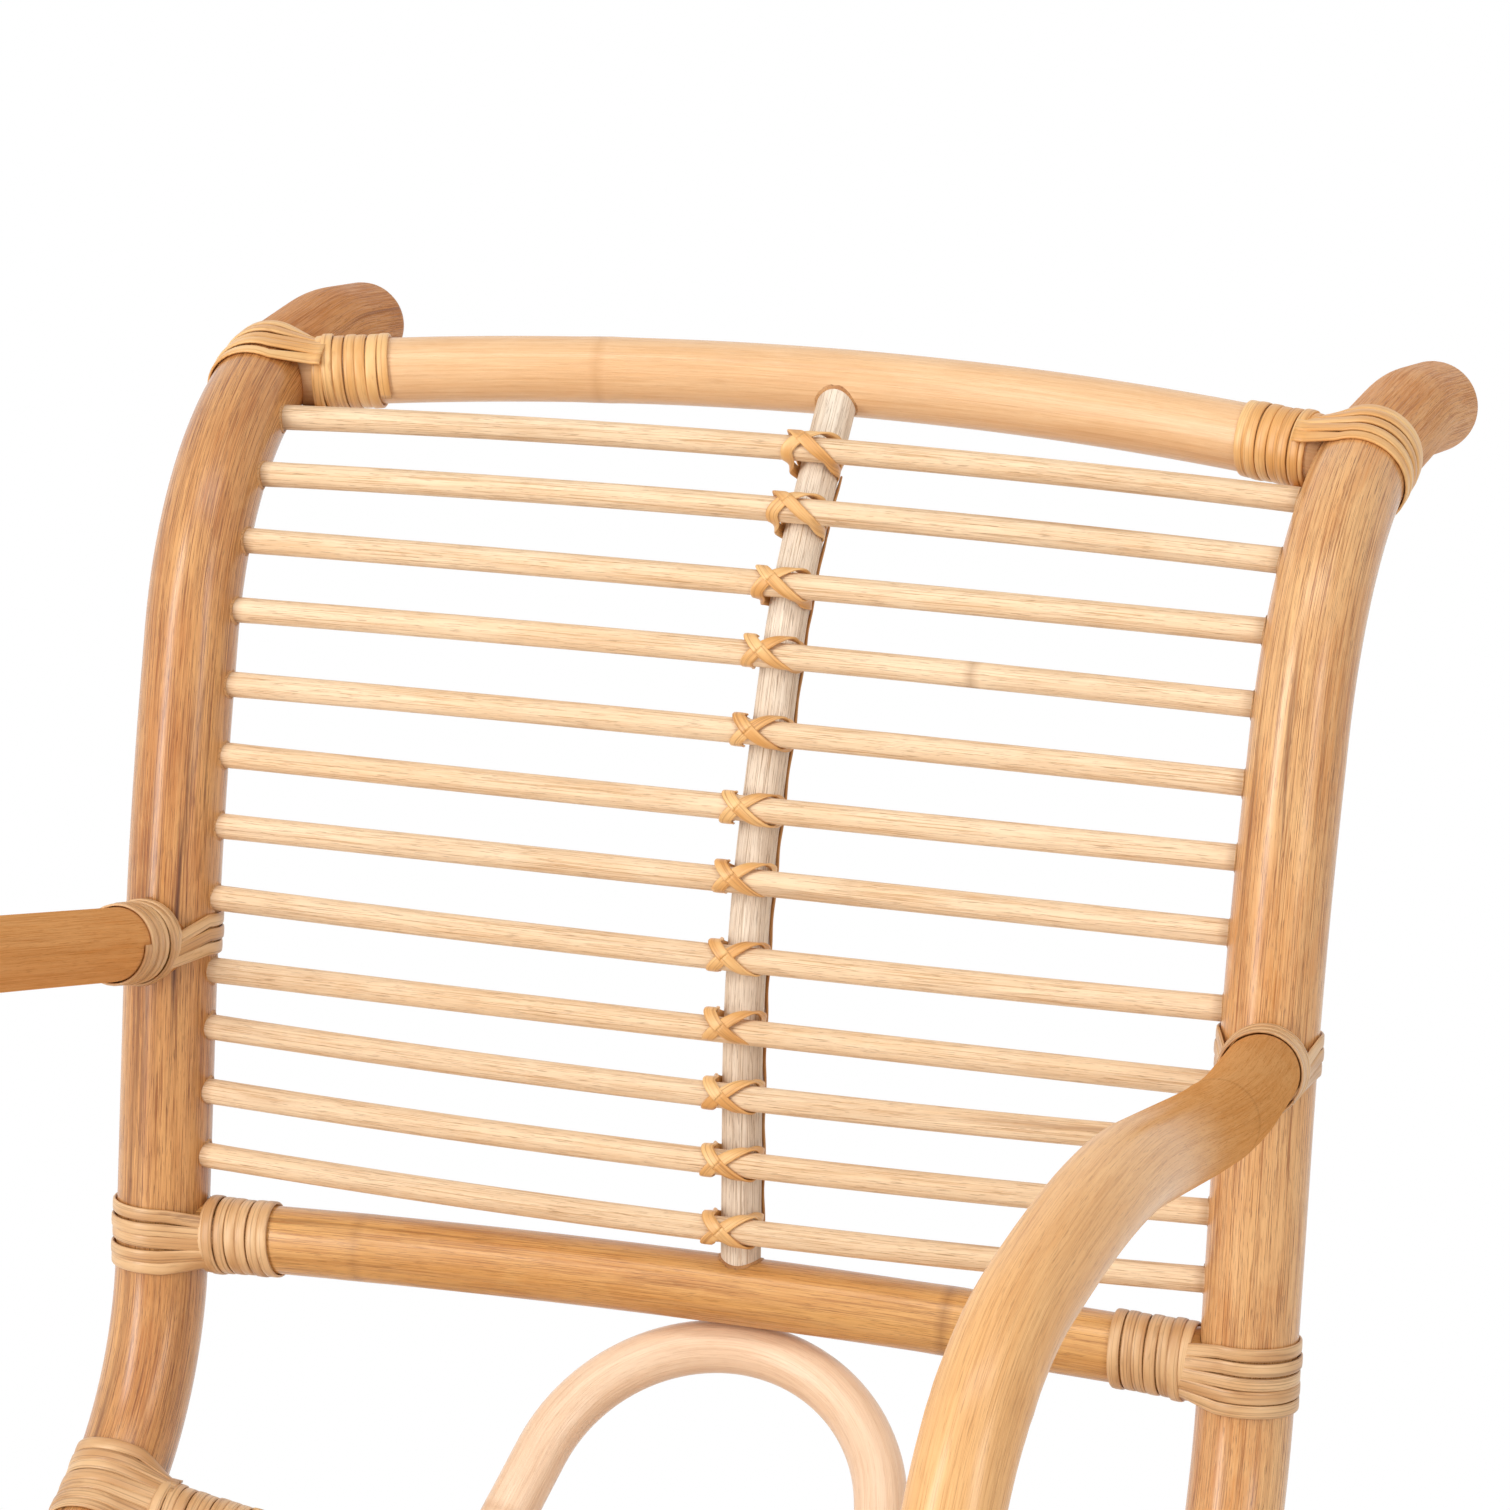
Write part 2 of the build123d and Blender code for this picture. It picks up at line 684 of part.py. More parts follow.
with BuildPart() as seat_rear_rail:
    add(coped_rail(rear_rail_axis, rail_dia, pole_cutters))
    add(holes_both("rear_rail"), mode=Mode.SUBTRACT)
save(seat_rear_rail, "seat_rear_rail")

with BuildPart() as seat_front_rail:
    add(coped_rail(front_rail_axis, rail_dia, pole_cutters))
    add(holes_both("front_rail"), mode=Mode.SUBTRACT)
save(seat_front_rail, "seat_front_rail")

front_leg_cutters = [front_leg_cutter, mirror(front_leg_cutter, about=Plane.YZ)]
rear_leg_cutters = [rear_leg_cutter, mirror(rear_leg_cutter, about=Plane.YZ)]

with BuildPart() as front_stretcher:
    add(coped_rail(front_stretcher_axis, stretcher_dia, front_leg_cutters))
    add(holes_both("front_stretcher"), mode=Mode.SUBTRACT)
save(front_stretcher, "front_stretcher")

with BuildPart() as rear_stretcher:
    add(coped_rail(rear_stretcher_axis, stretcher_dia, rear_leg_cutters))
    add(holes_both("rear_stretcher"), mode=Mode.SUBTRACT)
save(rear_stretcher, "rear_stretcher")

# ======================================================== spindle and hoop
with BuildPart() as spindle:
    add(round_cane(spindle_path, spindle_dia))
save(spindle, "spindle")

with BuildPart() as hoop:
    add(round_cane(hoop_axis, hoop_dia))
save(hoop, "hoop")

# ==================================================================== slats
for number, (anchor, bow, crossing) in enumerate(back_slats, 1):
    reach = anchor[0] - pole_dia / 2 + slat_socket_depth
    with BuildPart() as back_slat:
        add(round_cane(cross_axis(anchor, bow, reach), slat_dia))
    save(back_slat, f"back_slat_{number:02d}")

for number, anchor in enumerate(seat_slats, 1):
    reach = anchor[0] - pole_dia / 2 + slat_socket_depth
    with BuildPart() as seat_slat:
        add(round_cane(route([(reach, *anchor[1:]), (-reach, *anchor[1:])]), slat_dia))
    save(seat_slat, f"seat_slat_{number:02d}")


# ================================================================= bindings
def peel_room(axis, diameter):
    """What a cane takes out of the bindings round it."""
    return round_cane(axis, diameter + 2 * peel_gap)


pole_room = peel_room(pole_axis, pole_dia)
arm_room = peel_room(arm_axis, arm_dia)
rear_leg_room = peel_room(rear_leg_axis, leg_dia)
rocker_room = peel_room(rocker_axis, rocker_dia)

arm_from_foot = route(arm_points[::-1], arm_bends[::-1])
pole_from_side = route(pole_points[::-1], pole_bends[::-1])
leg_from_foot = route([rear_foot, rear_leg_top])
foot_fraction = fraction_at(rocker_axis, 1, front_foot_y)
rear_foot_fraction = fraction_at(rocker_axis, 1, rear_foot_y)


def leg_fraction(axis, z):
    """Fraction of a leg's straight axis at a height."""
    return ((axis @ 0).Z - z) / ((axis @ 0).Z - (axis @ 1).Z)


wraps = {
    "top_rail_bindings": (
        binding(pole_axis, top_rail_fraction, pole_dia, top_rail_axis, rail_dia, 4, 6),
        [pole_room, peel_room(top_rail_axis, rail_dia)],
    ),
    "arm_bindings": (
        binding(pole_axis, arm_fraction, pole_dia, arm_axis, arm_dia, 3, 5, arm_strap_shift),
        [pole_room, arm_room],
    ),
    "lower_rail_bindings": (
        binding(pole_axis, lower_rail_fraction, pole_dia, lower_rail_axis, rail_dia, 5, 6),
        [pole_room, peel_room(lower_rail_axis, rail_dia)],
    ),
    "seat_rear_bindings": (
        binding(pole_axis, rear_rail_fraction, pole_dia, rear_rail_axis, rail_dia, 7, 8),
        [pole_room, peel_room(rear_rail_axis, rail_dia)],
    ),
    "seat_front_bindings": (
        binding(pole_axis, front_rail_fraction, pole_dia, front_rail_axis, rail_dia, 4, 6),
        [pole_room, peel_room(front_rail_axis, rail_dia)],
    ),
    "seat_side_bindings": (
        binding(
            front_leg_axis,
            leg_fraction(front_leg_axis, front_joint[2]),
            arm_dia,
            pole_from_side,
            pole_dia,
            5,
            3,
        ),
        [arm_room, pole_room],
    ),
    "rear_leg_bindings": (
        binding(pole_axis, rear_leg_fraction, pole_dia, rear_leg_axis, leg_dia, 5, 6),
        [pole_room, rear_leg_room],
    ),
    "front_foot_bindings": (
        binding(rocker_axis, foot_fraction, rocker_dia, arm_from_foot, arm_dia, 5, 6),
        [rocker_room, arm_room],
    ),
    "rear_foot_bindings": (
        binding(rocker_axis, rear_foot_fraction, rocker_dia, leg_from_foot, leg_dia, 5, 6),
        [rocker_room, rear_leg_room],
    ),
    "front_stretcher_bindings": (
        binding(
            front_leg_axis,
            leg_fraction(front_leg_axis, front_stretcher_z),
            arm_dia,
            front_stretcher_axis,
            stretcher_dia,
            3,
            5,
        ),
        [arm_room, peel_room(front_stretcher_axis, stretcher_dia)],
    ),
    "rear_stretcher_bindings": (
        binding(
            rear_leg_axis,
            leg_fraction(rear_leg_axis, rear_stretcher_z),
            leg_dia,
            rear_stretcher_axis,
            stretcher_dia,
            3,
            5,
        ),
        [rear_leg_room, peel_room(rear_stretcher_axis, stretcher_dia)],
    ),
}

for name, (wrap, rooms) in wraps.items():
    with BuildPart() as bindings:
        add(fitted(wrap, rooms))
        mirror(about=Plane.YZ)
    save(bindings, name)

# ================================================================ lashings
spindle_lashing = lashing(slat_dia, spindle_dia)
seat_lashing = lashing(slat_dia, hoop_dia)
across = Vector(1, 0, 0)

with BuildPart() as spindle_lashings:
    for anchor, bow, crossing in back_slats:
        front_point = slat_on_spindle(crossing)
        forward = front_point - spindle_path @ crossing
        with Locations(Plane(origin=front_point, x_dir=across, z_dir=forward)):
            add(spindle_lashing)
save(spindle_lashings, "spindle_lashings")

with BuildPart() as seat_lashings:
    for anchor in seat_slats:
        for sign in (1, -1):
            place = (hoop_side(sign)[0][0], anchor[1], anchor[2])
            with Locations(Plane(origin=place, x_dir=across, z_dir=(0, seat_slope, 1))):
                add(seat_lashing)
save(seat_lashings, "seat_lashings")

# ================================================================== screws
with BuildPart() as joint_screws:
    for place in joints.values():
        add(screw(*place))
    mirror(about=Plane.YZ)
save(joint_screws, "joint_screws")
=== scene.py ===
import math
import random
from collections import namedtuple

import bpy
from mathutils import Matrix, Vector


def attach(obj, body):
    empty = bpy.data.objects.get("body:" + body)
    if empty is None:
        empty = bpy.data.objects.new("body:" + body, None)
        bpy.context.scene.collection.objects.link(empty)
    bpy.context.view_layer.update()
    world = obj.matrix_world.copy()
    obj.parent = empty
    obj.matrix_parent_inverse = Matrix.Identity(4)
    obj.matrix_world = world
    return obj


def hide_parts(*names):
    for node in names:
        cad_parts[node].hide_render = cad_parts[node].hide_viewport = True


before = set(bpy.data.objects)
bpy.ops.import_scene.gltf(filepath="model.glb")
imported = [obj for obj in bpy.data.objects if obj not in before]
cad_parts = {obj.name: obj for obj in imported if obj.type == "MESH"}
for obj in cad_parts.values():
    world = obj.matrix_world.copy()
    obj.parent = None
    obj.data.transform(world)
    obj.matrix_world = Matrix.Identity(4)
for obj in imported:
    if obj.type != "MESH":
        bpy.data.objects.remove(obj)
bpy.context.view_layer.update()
random.seed(7)
MM = 0.001
ACROSS = Vector((1, 0, 0))

# ------------------------------------------------------------ sizes, in millimetres
POLE, ARM, LEG, ROCKER, RAIL = 20.0, 15.75, 15.75, 18.5, 14.5  # radii
STRETCHER, HOOP, SPINDLE, SLAT = 12.0, 11.2, 8.6, 5.4
PEEL_WIDTH, PEEL_THICKNESS = 5.7, 1.1  # of the bindings
LASH_WIDTH, LASH_THICKNESS = 5.2, 0.9  # of the X lashings
RUN_WIDTH = 4.6  # of the strip that runs from lashing to lashing
PEEL_GAP = 0.3  # between a binding and the cane under it
STRAP_STEP = 0.3  # every second strip round a pole stands higher, clear of its neighbours
TOUCH_GAP = 0.3  # between canes that only lie against each other
COPE_GAP = 0.1  # between a shaped end and the pole that it sits on
COPE_LENGTH = 8.0  # last stretch of a cane, which reaches its host by its shaped end
SIDE_COPE_LENGTH = 12.0  # the same of a seat side, which is thicker than its host
SOCKET_DEPTH = 12.0  # of the holes that the slats are let into
WRAP_START = 4.0  # from a pole's surface to the first turn on the cane

HALF = 236.5  # from the middle to a back post's axis
CORNER_Y, CORNER_Z, CORNER_BEND = 122.0, 355.0, 126.0  # where back and seat side meet
SEAT_RISE = math.radians(4.5)
SEAT_SLOPE = math.tan(SEAT_RISE)
WAIST_BACK, WAIST_UP, WAIST_BEND = 48.0, 286.0, 840.0  # from the corner
SHOULDER_BACK, SHOULDER_UP, SHOULDER_BEND = 58.0, 177.5, 128.0  # from the waist
SCROLL_LENGTH, CREST_BEND = 148.0, 158.0
TIP_BACK, TIP_DROP, TIP_FLARE, TIP_ROUND = 67.0, 12.0, 11.4, 13.0

ARM_UP = 249.6  # arm's start on the post, above the corner
ARM_MIDDLE_OUT, ARM_MIDDLE_BEND = 27.0, 1400.0
ELBOW_OUT, ELBOW_FORWARD, ELBOW_UP, ELBOW_BEND = 31.5, 383.0, 377.0, 290.0  # from the corner
KNUCKLE_OUT, KNUCKLE_FORWARD, KNUCKLE_DROP, KNUCKLE_BEND = 20.0, 147.5, 18.0, 90.0
FOOT_OUT, FOOT_FORWARD = 12.0, 15.0  # outside the posts, ahead of the knuckle
REAR_LEG_TOP_Y, REAR_FOOT_Y = 9.0, 152.0
DEPTH, ROCKER_BEND, CONTACT_Y = 990.0, 1150.0, -30.0

TOP_RAIL_BACK, TOP_RAIL_BOW = 179.0, (30, 9)  # bows back and up, at the middle
LOWER_RAIL_UP, LOWER_RAIL_BOW = 124.4, (2, 5.5)
REAR_RAIL_Y, REAR_RAIL_BOW = 80.0, (-4, -22)
FRONT_RAIL_BACK, FRONT_RAIL_BOW = 54.0, (-6, 6 * SEAT_SLOPE)
FRONT_STRETCHER_Z, REAR_STRETCHER_Z = 215.0, 190.0

SPINDLE_FOOT_X, SPINDLE_HEAD_X = 22.0, 10.0
SPINDLE_WAIST, SPINDLE_WAIST_BEND = (13.5, 55.0, 270.0), 700.0  # across, behind, above the corner
SPINDLE_SHOULDER, SPINDLE_SHOULDER_BEND = (17.0, 110.0, 410.0), 110.0
SPINDLE_GAP = SLAT + SPINDLE + TOUCH_GAP
# height of each back slat on the posts, above the corner, and its rise from there to the spindle
SLAT_UP = [452.4, 435.0, 412.2, 386.0, 356.3, 328.0, 299.0, 269.6, 239.0, 215.3, 187.8, 160.2]
SLAT_LIFT = [2.5, 1.5, 0.0, 0.5, 0.5, -0.5, 0.5, -0.5, 1.5, -1.0, -0.5, 0.0]
SEAT_SLATS, SEAT_SLAT_Y, SEAT_SLAT_PITCH = 10, -25.0, 32.5
SEAT_DROP = (RAIL - SLAT) / math.cos(SEAT_RISE)  # slats below the axis of the seat side
HOOP_X, HOOP_BEND, SPLAY = 22.0, 75.4, math.radians(13.5)  # middle, arch and lean of its legs
RUN_UNDER = SLAT + HOOP + TOUCH_GAP  # runners below the seat slats
RUNNER_BEND, RUNNER_OVERHANG = 58.0, 24.0


# ============================================================ paths
def seat_z(y):
    """Height of the seat side's axis at a depth y."""
    return CORNER_Z + (CORNER_Y - y) * SEAT_SLOPE


def rocker_z(y):
    """Height of the rocker's axis at a depth y."""
    return ROCKER + ROCKER_BEND - math.sqrt(ROCKER_BEND**2 - (y - CONTACT_Y) ** 2)


def bent(points, bends, step=4.0):
    """Points along straight runs with a tangent arc at each corner."""
    corners = [Vector(p) for p in points]
    line = [corners[0]]
    for before, corner, after, bend in zip(corners, corners[1:], corners[2:], bends):
        arriving = (corner - before).normalized()
        leaving = (after - corner).normalized()
        turn = arriving.angle(leaving)
        tangent = bend * math.tan(turn / 2)
        start = corner - arriving * tangent
        inward = (leaving - arriving * leaving.dot(arriving)).normalized()
        for index in range(int(bend * turn / step) + 2):
            angle = turn * index / (int(bend * turn / step) + 1)
            side = inward * bend * (1 - math.cos(angle))
            line.append(start + arriving * bend * math.sin(angle) + side)
    line.append(corners[-1])
    return even(line, step)


def even(line, step=4.0):
    """The same line with points at even spacing."""
    lengths = [0.0]
    for a, b in zip(line, line[1:]):
        lengths.append(lengths[-1] + (b - a).length)
    count = max(2, round(lengths[-1] / step))
    result = []
    place = 0
    for index in range(count + 1):
        target = lengths[-1] * index / count
        while place < len(line) - 2 and lengths[place + 1] < target:
            place += 1
        run = lengths[place + 1] - lengths[place]
        share = (target - lengths[place]) / run if run else 0
        result.append(line[place].lerp(line[place + 1], share))
    return result


def arc_across(anchor, bow, reach):
    """Arc from x = reach to x = -reach through the anchor, bowed back and up."""
    depth = math.hypot(*bow)
    radius = (anchor.x**2 + depth**2) / (2 * depth)
    line = []
    steps = 80  # on each side of the middle
    for index in range(2 * steps + 1):
        x = reach * (1 - index / steps)
        share = 1 - (radius - math.sqrt(radius**2 - x**2)) / depth
        line.append(Vector((x, anchor.y + bow[0] * share, anchor.z + bow[1] * share)))
    return even(line)


def meeting(line, axis, value, start=0, end=None):
    """Point of a line where a falling coordinate meets a value, with its direction."""
    stretch = line[start:end]
    for a, b in zip(stretch, stretch[1:]):
        if a[axis] >= value > b[axis]:
            share = (a[axis] - value) / (a[axis] - b[axis])
            return a.lerp(b, share), (b - a).normalized()
    raise ValueError(f"no place at {value}")


def mirrored(line):
    """The same line on the chair's other side."""
    return [Vector((-p.x, p.y, p.z)) for p in line]


def on_side(sign, line):
    """A line of the right side as it runs on the right (1) or the left (-1)."""
    return line if sign == 1 else mirrored(line)


def length_of(line):
    return sum((b - a).length for a, b in zip(line, line[1:]))


def along(start, end, z):
    """Point of a straight run at a height."""
    return start.lerp(end, (z - start.z) / (end.z - start.z))


def from_corner(x, back, up):
    return Vector((x, CORNER_Y + back, CORNER_Z + up))


# ------------------------------------------------------------ side poles
CORNER = from_corner(HALF, 0, 0)
WAIST = from_corner(HALF, WAIST_BACK, WAIST_UP)
SCROLL_Z = WAIST.z + SHOULDER_UP
TIP_Y = WAIST.y + SHOULDER_BACK + SCROLL_LENGTH + TIP_BACK


def on_scroll(y, drop=0.0):
    """Point of the scroll's level run, which spreads outwards towards its tip."""
    flare = TIP_FLARE * (y - WAIST.y) / (TIP_Y - WAIST.y)
    return Vector((HALF + flare, y, SCROLL_Z - drop))


TIP = on_scroll(TIP_Y, TIP_DROP)
CREST = on_scroll(WAIST.y + SHOULDER_BACK + SCROLL_LENGTH)
SHOULDER = on_scroll(WAIST.y + SHOULDER_BACK)
ELBOW = from_corner(HALF + ELBOW_OUT, -ELBOW_FORWARD, ELBOW_UP)
KNUCKLE = Vector((HALF + KNUCKLE_OUT, ELBOW.y - KNUCKLE_FORWARD, ELBOW.z - KNUCKLE_DROP))
FOOT_Y = KNUCKLE.y - FOOT_FORWARD
FRONT_FOOT = Vector((HALF + FOOT_OUT, FOOT_Y, rocker_z(FOOT_Y)))
FRONT_JOINT = along(FRONT_FOOT, KNUCKLE, seat_z(KNUCKLE.y))
SIDE_END = Vector((FRONT_JOINT.x, FRONT_JOINT.y, seat_z(FRONT_JOINT.y)))
post = bent(
    [TIP, CREST, SHOULDER, WAIST, CORNER, SIDE_END],
    [CREST_BEND, SHOULDER_BEND, WAIST_BEND, CORNER_BEND],
)
BACK_START = next(i for i, p in enumerate(post) if p.y < CREST.y)
BACK_END = next(i for i, p in enumerate(post) if p.z < CORNER_Z + 40)


def on_back(up):
    """Point and direction of the back post at a height above the corner."""
    return meeting(post, 2, CORNER_Z + up, BACK_START, BACK_END)


# ------------------------------------------------------------ arms, legs and rockers
ARM_START, ARM_HOST = on_back(ARM_UP)
ARM_MIDDLE = (ARM_START + ELBOW) / 2
ARM_MIDDLE.x = HALF + ARM_MIDDLE_OUT
arm = bent(
    [ARM_START, ARM_MIDDLE, ELBOW, KNUCKLE, FRONT_FOOT],
    [ARM_MIDDLE_BEND, ELBOW_BEND, KNUCKLE_BEND],
)
REAR_TOP, REAR_TOP_HOST = meeting(post, 1, REAR_LEG_TOP_Y)
REAR_FOOT = Vector((HALF + FOOT_OUT, REAR_FOOT_Y, rocker_z(REAR_FOOT_Y)))
rear_leg = even([REAR_TOP, REAR_FOOT])
rocker_reach, steps = DEPTH / 2 - ROCKER, 120
rocker_ys = [rocker_reach * (1 - i / steps) for i in range(2 * steps + 1)]
rocker = even([Vector((HALF + FOOT_OUT, y, rocker_z(y))) for y in rocker_ys], 5)
rocker_tips = [
    rocker[end] + (rocker[end] - rocker[inner]).normalized() * ROCKER
    for end, inner in ((0, 1), (-1, -2))
]
rocker = [rocker_tips[0], *rocker, rocker_tips[1]]


# ------------------------------------------------------------ rails and stretchers
def rail_line(place, bow):
    return arc_across(place, bow, place.x)


def straight_across(place):
    return even([place, mirrored([place])[0]])


TOP_JOINT, TOP_HOST = meeting(post, 1, CORNER_Y + TOP_RAIL_BACK)
LOWER_JOINT, LOWER_HOST = on_back(LOWER_RAIL_UP)
REAR_JOINT, REAR_HOST = meeting(post, 1, REAR_RAIL_Y)
FRONT_RAIL_JOINT, FRONT_HOST = meeting(post, 1, FRONT_JOINT.y + FRONT_RAIL_BACK)
top_rail = rail_line(TOP_JOINT, TOP_RAIL_BOW)
lower_rail = rail_line(LOWER_JOINT, LOWER_RAIL_BOW)
rear_rail = rail_line(REAR_JOINT, REAR_RAIL_BOW)
front_rail = rail_line(FRONT_RAIL_JOINT, FRONT_RAIL_BOW)
FRONT_STRETCHER_END = along(FRONT_FOOT, KNUCKLE, FRONT_STRETCHER_Z)
REAR_STRETCHER_END = along(REAR_FOOT, REAR_TOP, REAR_STRETCHER_Z)
front_stretcher = straight_across(FRONT_STRETCHER_END)
rear_stretcher = straight_across(REAR_STRETCHER_END)

# ------------------------------------------------------------ spindle and slats
lower_crown = lower_rail[len(lower_rail) // 2]
upper_crown = top_rail[len(top_rail) // 2]
spindle = bent(
    [
        Vector((SPINDLE_FOOT_X, lower_crown.y, lower_crown.z)),
        from_corner(*SPINDLE_WAIST),
        from_corner(*SPINDLE_SHOULDER),
        Vector((SPINDLE_HEAD_X, upper_crown.y, upper_crown.z)),
    ],
    [SPINDLE_WAIST_BEND, SPINDLE_SHOULDER_BEND],
    2.0,
)


def front_of_spindle(index):
    """Axis point of a slat that touches the spindle's front, and the way forwards."""
    direction = (spindle[index + 1] - spindle[index - 1]).normalized()
    forward = Vector((0, -direction.z, direction.y)).normalized()
    return spindle[index] + forward * SPINDLE_GAP, forward


Slat = namedtuple("Slat", "anchor host bow crossing forward")
back_slats = []
for up, lift in zip(SLAT_UP, SLAT_LIFT):
    anchor, host = on_back(up)
    index = 1
    while front_of_spindle(index)[0].z < anchor.z + lift:
        index += 1
    crossing, forward = front_of_spindle(index)
    back_slats.append(Slat(anchor, host, (crossing.y - anchor.y, lift or 0.01), crossing, forward))

seat_slats = []
for index in range(SEAT_SLATS):
    y = SEAT_SLAT_Y - index * SEAT_SLAT_PITCH
    side, host = meeting(post, 1, y)
    seat_slats.append((Vector((side.x, y, side.z - SEAT_DROP)), host))

# ------------------------------------------------------------ hoop
APEX = Vector((HOOP_X, lower_crown.y, lower_crown.z - RAIL - HOOP - TOUCH_GAP))
LEG_SPREAD = HOOP_BEND * math.cos(SPLAY)
ARCH_DEPTH = HOOP_BEND * (1 - math.sin(SPLAY))


def runner_z(y):
    """Height of the runners' axes, which lie under the seat slats."""
    return seat_z(y) - (RAIL - SLAT + RUN_UNDER) / math.cos(SEAT_RISE)


# the legs lean so that they pass in front of the seat's rear rail
rail_point = meeting(rear_rail, 0, HOOP_X + LEG_SPREAD + ARCH_DEPTH * math.tan(SPLAY))[0]
back, up = APEX.y - rail_point.y, APEX.z - rail_point.z
slope = math.atan2(back, up) + math.asin((RAIL + HOOP + TOUCH_GAP) / math.hypot(back, up))
TURN_LENGTH = (APEX.z - runner_z(APEX.y)) / (math.cos(slope) + math.sin(slope) * SEAT_SLOPE)
TURN_SPREAD = LEG_SPREAD + (TURN_LENGTH - ARCH_DEPTH) * math.tan(SPLAY)
RUNNER_END = front_rail[len(front_rail) // 2].y - RUNNER_OVERHANG


def down_slope(across, length):
    """Point of the hoop's sloping plane, from the top of its arch."""
    return APEX + Vector((across, -length * math.sin(slope), -length * math.cos(slope)))


def hoop_side(sign):
    """A runner, its bend and a leg up to the start of the arch."""
    turn = down_slope(sign * TURN_SPREAD, TURN_LENGTH)
    front = Vector((turn.x, RUNNER_END, runner_z(RUNNER_END)))
    return bent([front, turn, down_slope(sign * LEG_SPREAD, ARCH_DEPTH)], [RUNNER_BEND])


arch, steps = [], 30
for index in range(2 * steps + 1):
    angle = (math.pi / 2 - SPLAY) * (1 - index / steps)
    arch.append(down_slope(HOOP_BEND * math.sin(angle), HOOP_BEND * (1 - math.cos(angle))))
hoop = even(hoop_side(1)[:-1] + arch + hoop_side(-1)[-2::-1])


# ============================================================ meshes
def make_object(name, vertices, faces, material, cane, marks=()):
    """A mesh object riding on the frame, with its own coordinates for the grain."""
    mesh = bpy.data.meshes.new(name)
    mesh.from_pydata([tuple(v * MM) for v in vertices], [], faces)
    mesh.update()
    grain = mesh.attributes.new("cane", "FLOAT_VECTOR", "POINT")
    for item, value in zip(grain.data, cane):
        item.vector = value * MM
    if marks:
        knots = mesh.attributes.new("knot", "FLOAT", "POINT")
        for item, value in zip(knots.data, marks):
            item.value = value
    for polygon in mesh.polygons:
        polygon.use_smooth = True
    mesh.materials.append(material)
    piece = bpy.data.objects.new(name, mesh)
    bpy.context.scene.collection.objects.link(piece)
    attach(piece, "root")
    return piece


def frames(line):
    """Direction and two normals at each point, turned as little as possible."""
    directions = []
    for index in range(len(line)):
        a = line[max(0, index - 1)]
        b = line[min(len(line) - 1, index + 1)]
        directions.append((b - a).normalized())
    normal = directions[0].orthogonal().normalized()
    result = []
    for index, direction in enumerate(directions):
        if index:
            turn = directions[index - 1].rotation_difference(direction)
            normal = turn @ normal
        normal = (normal - direction * normal.dot(direction)).normalized()
        result.append((direction, normal, direction.cross(normal)))
    return result


def slid(point, direction, host, radius):
    """The point moved along a direction until it meets the surface of a host cane."""
    origin, axis = host
    axis = axis.normalized()
    flat = direction - axis * direction.dot(axis)
    away = (point - origin) - axis * (point - origin).dot(axis)
    a, b = flat.dot(flat), away.dot(flat)
    inside = b * b - a * (away.dot(away) - radius * radius)
    return point + direction * ((-b - math.sqrt(max(inside, 0.0))) / a)


def skin(start, rings, count):
    """Faces of a row of rings with count points each, closed at both ends."""
    faces = []
    for ring in range(rings - 1):
        for k in range(count):
            a = start + ring * count + k
            b = start + ring * count + (k + 1) % count
            faces.append((a, b, b + count, a + count))
    last = start + (rings - 1) * count
    faces.append(tuple(reversed(range(start, start + count))))
    faces.append(tuple(range(last, last + count)))
    return faces


def domed(rings, end, dome, radius, total):
    """Rings whose last stretch at one end (0 or -1) is a dome of that length."""
    side = -1 if end == 0 else 1
    base = rings[end][2] - side * dome
    keep = [r for r in rings if (r[2] > dome if end == 0 else r[2] < total - dome)]
    point, axes = keep[end][:2]
    cap = []
    for step in range(1, 10):
        angle = math.pi / 2 * step / 9
        shift = side * dome * math.sin(angle)
        shrink = 1 - (dome / radius) * (1 - math.cos(angle))
        cap.append((point + axes[0] * shift, axes, base + shift, max(shrink, 0.001)))
    return cap[::-1] + keep if end == 0 else keep + cap


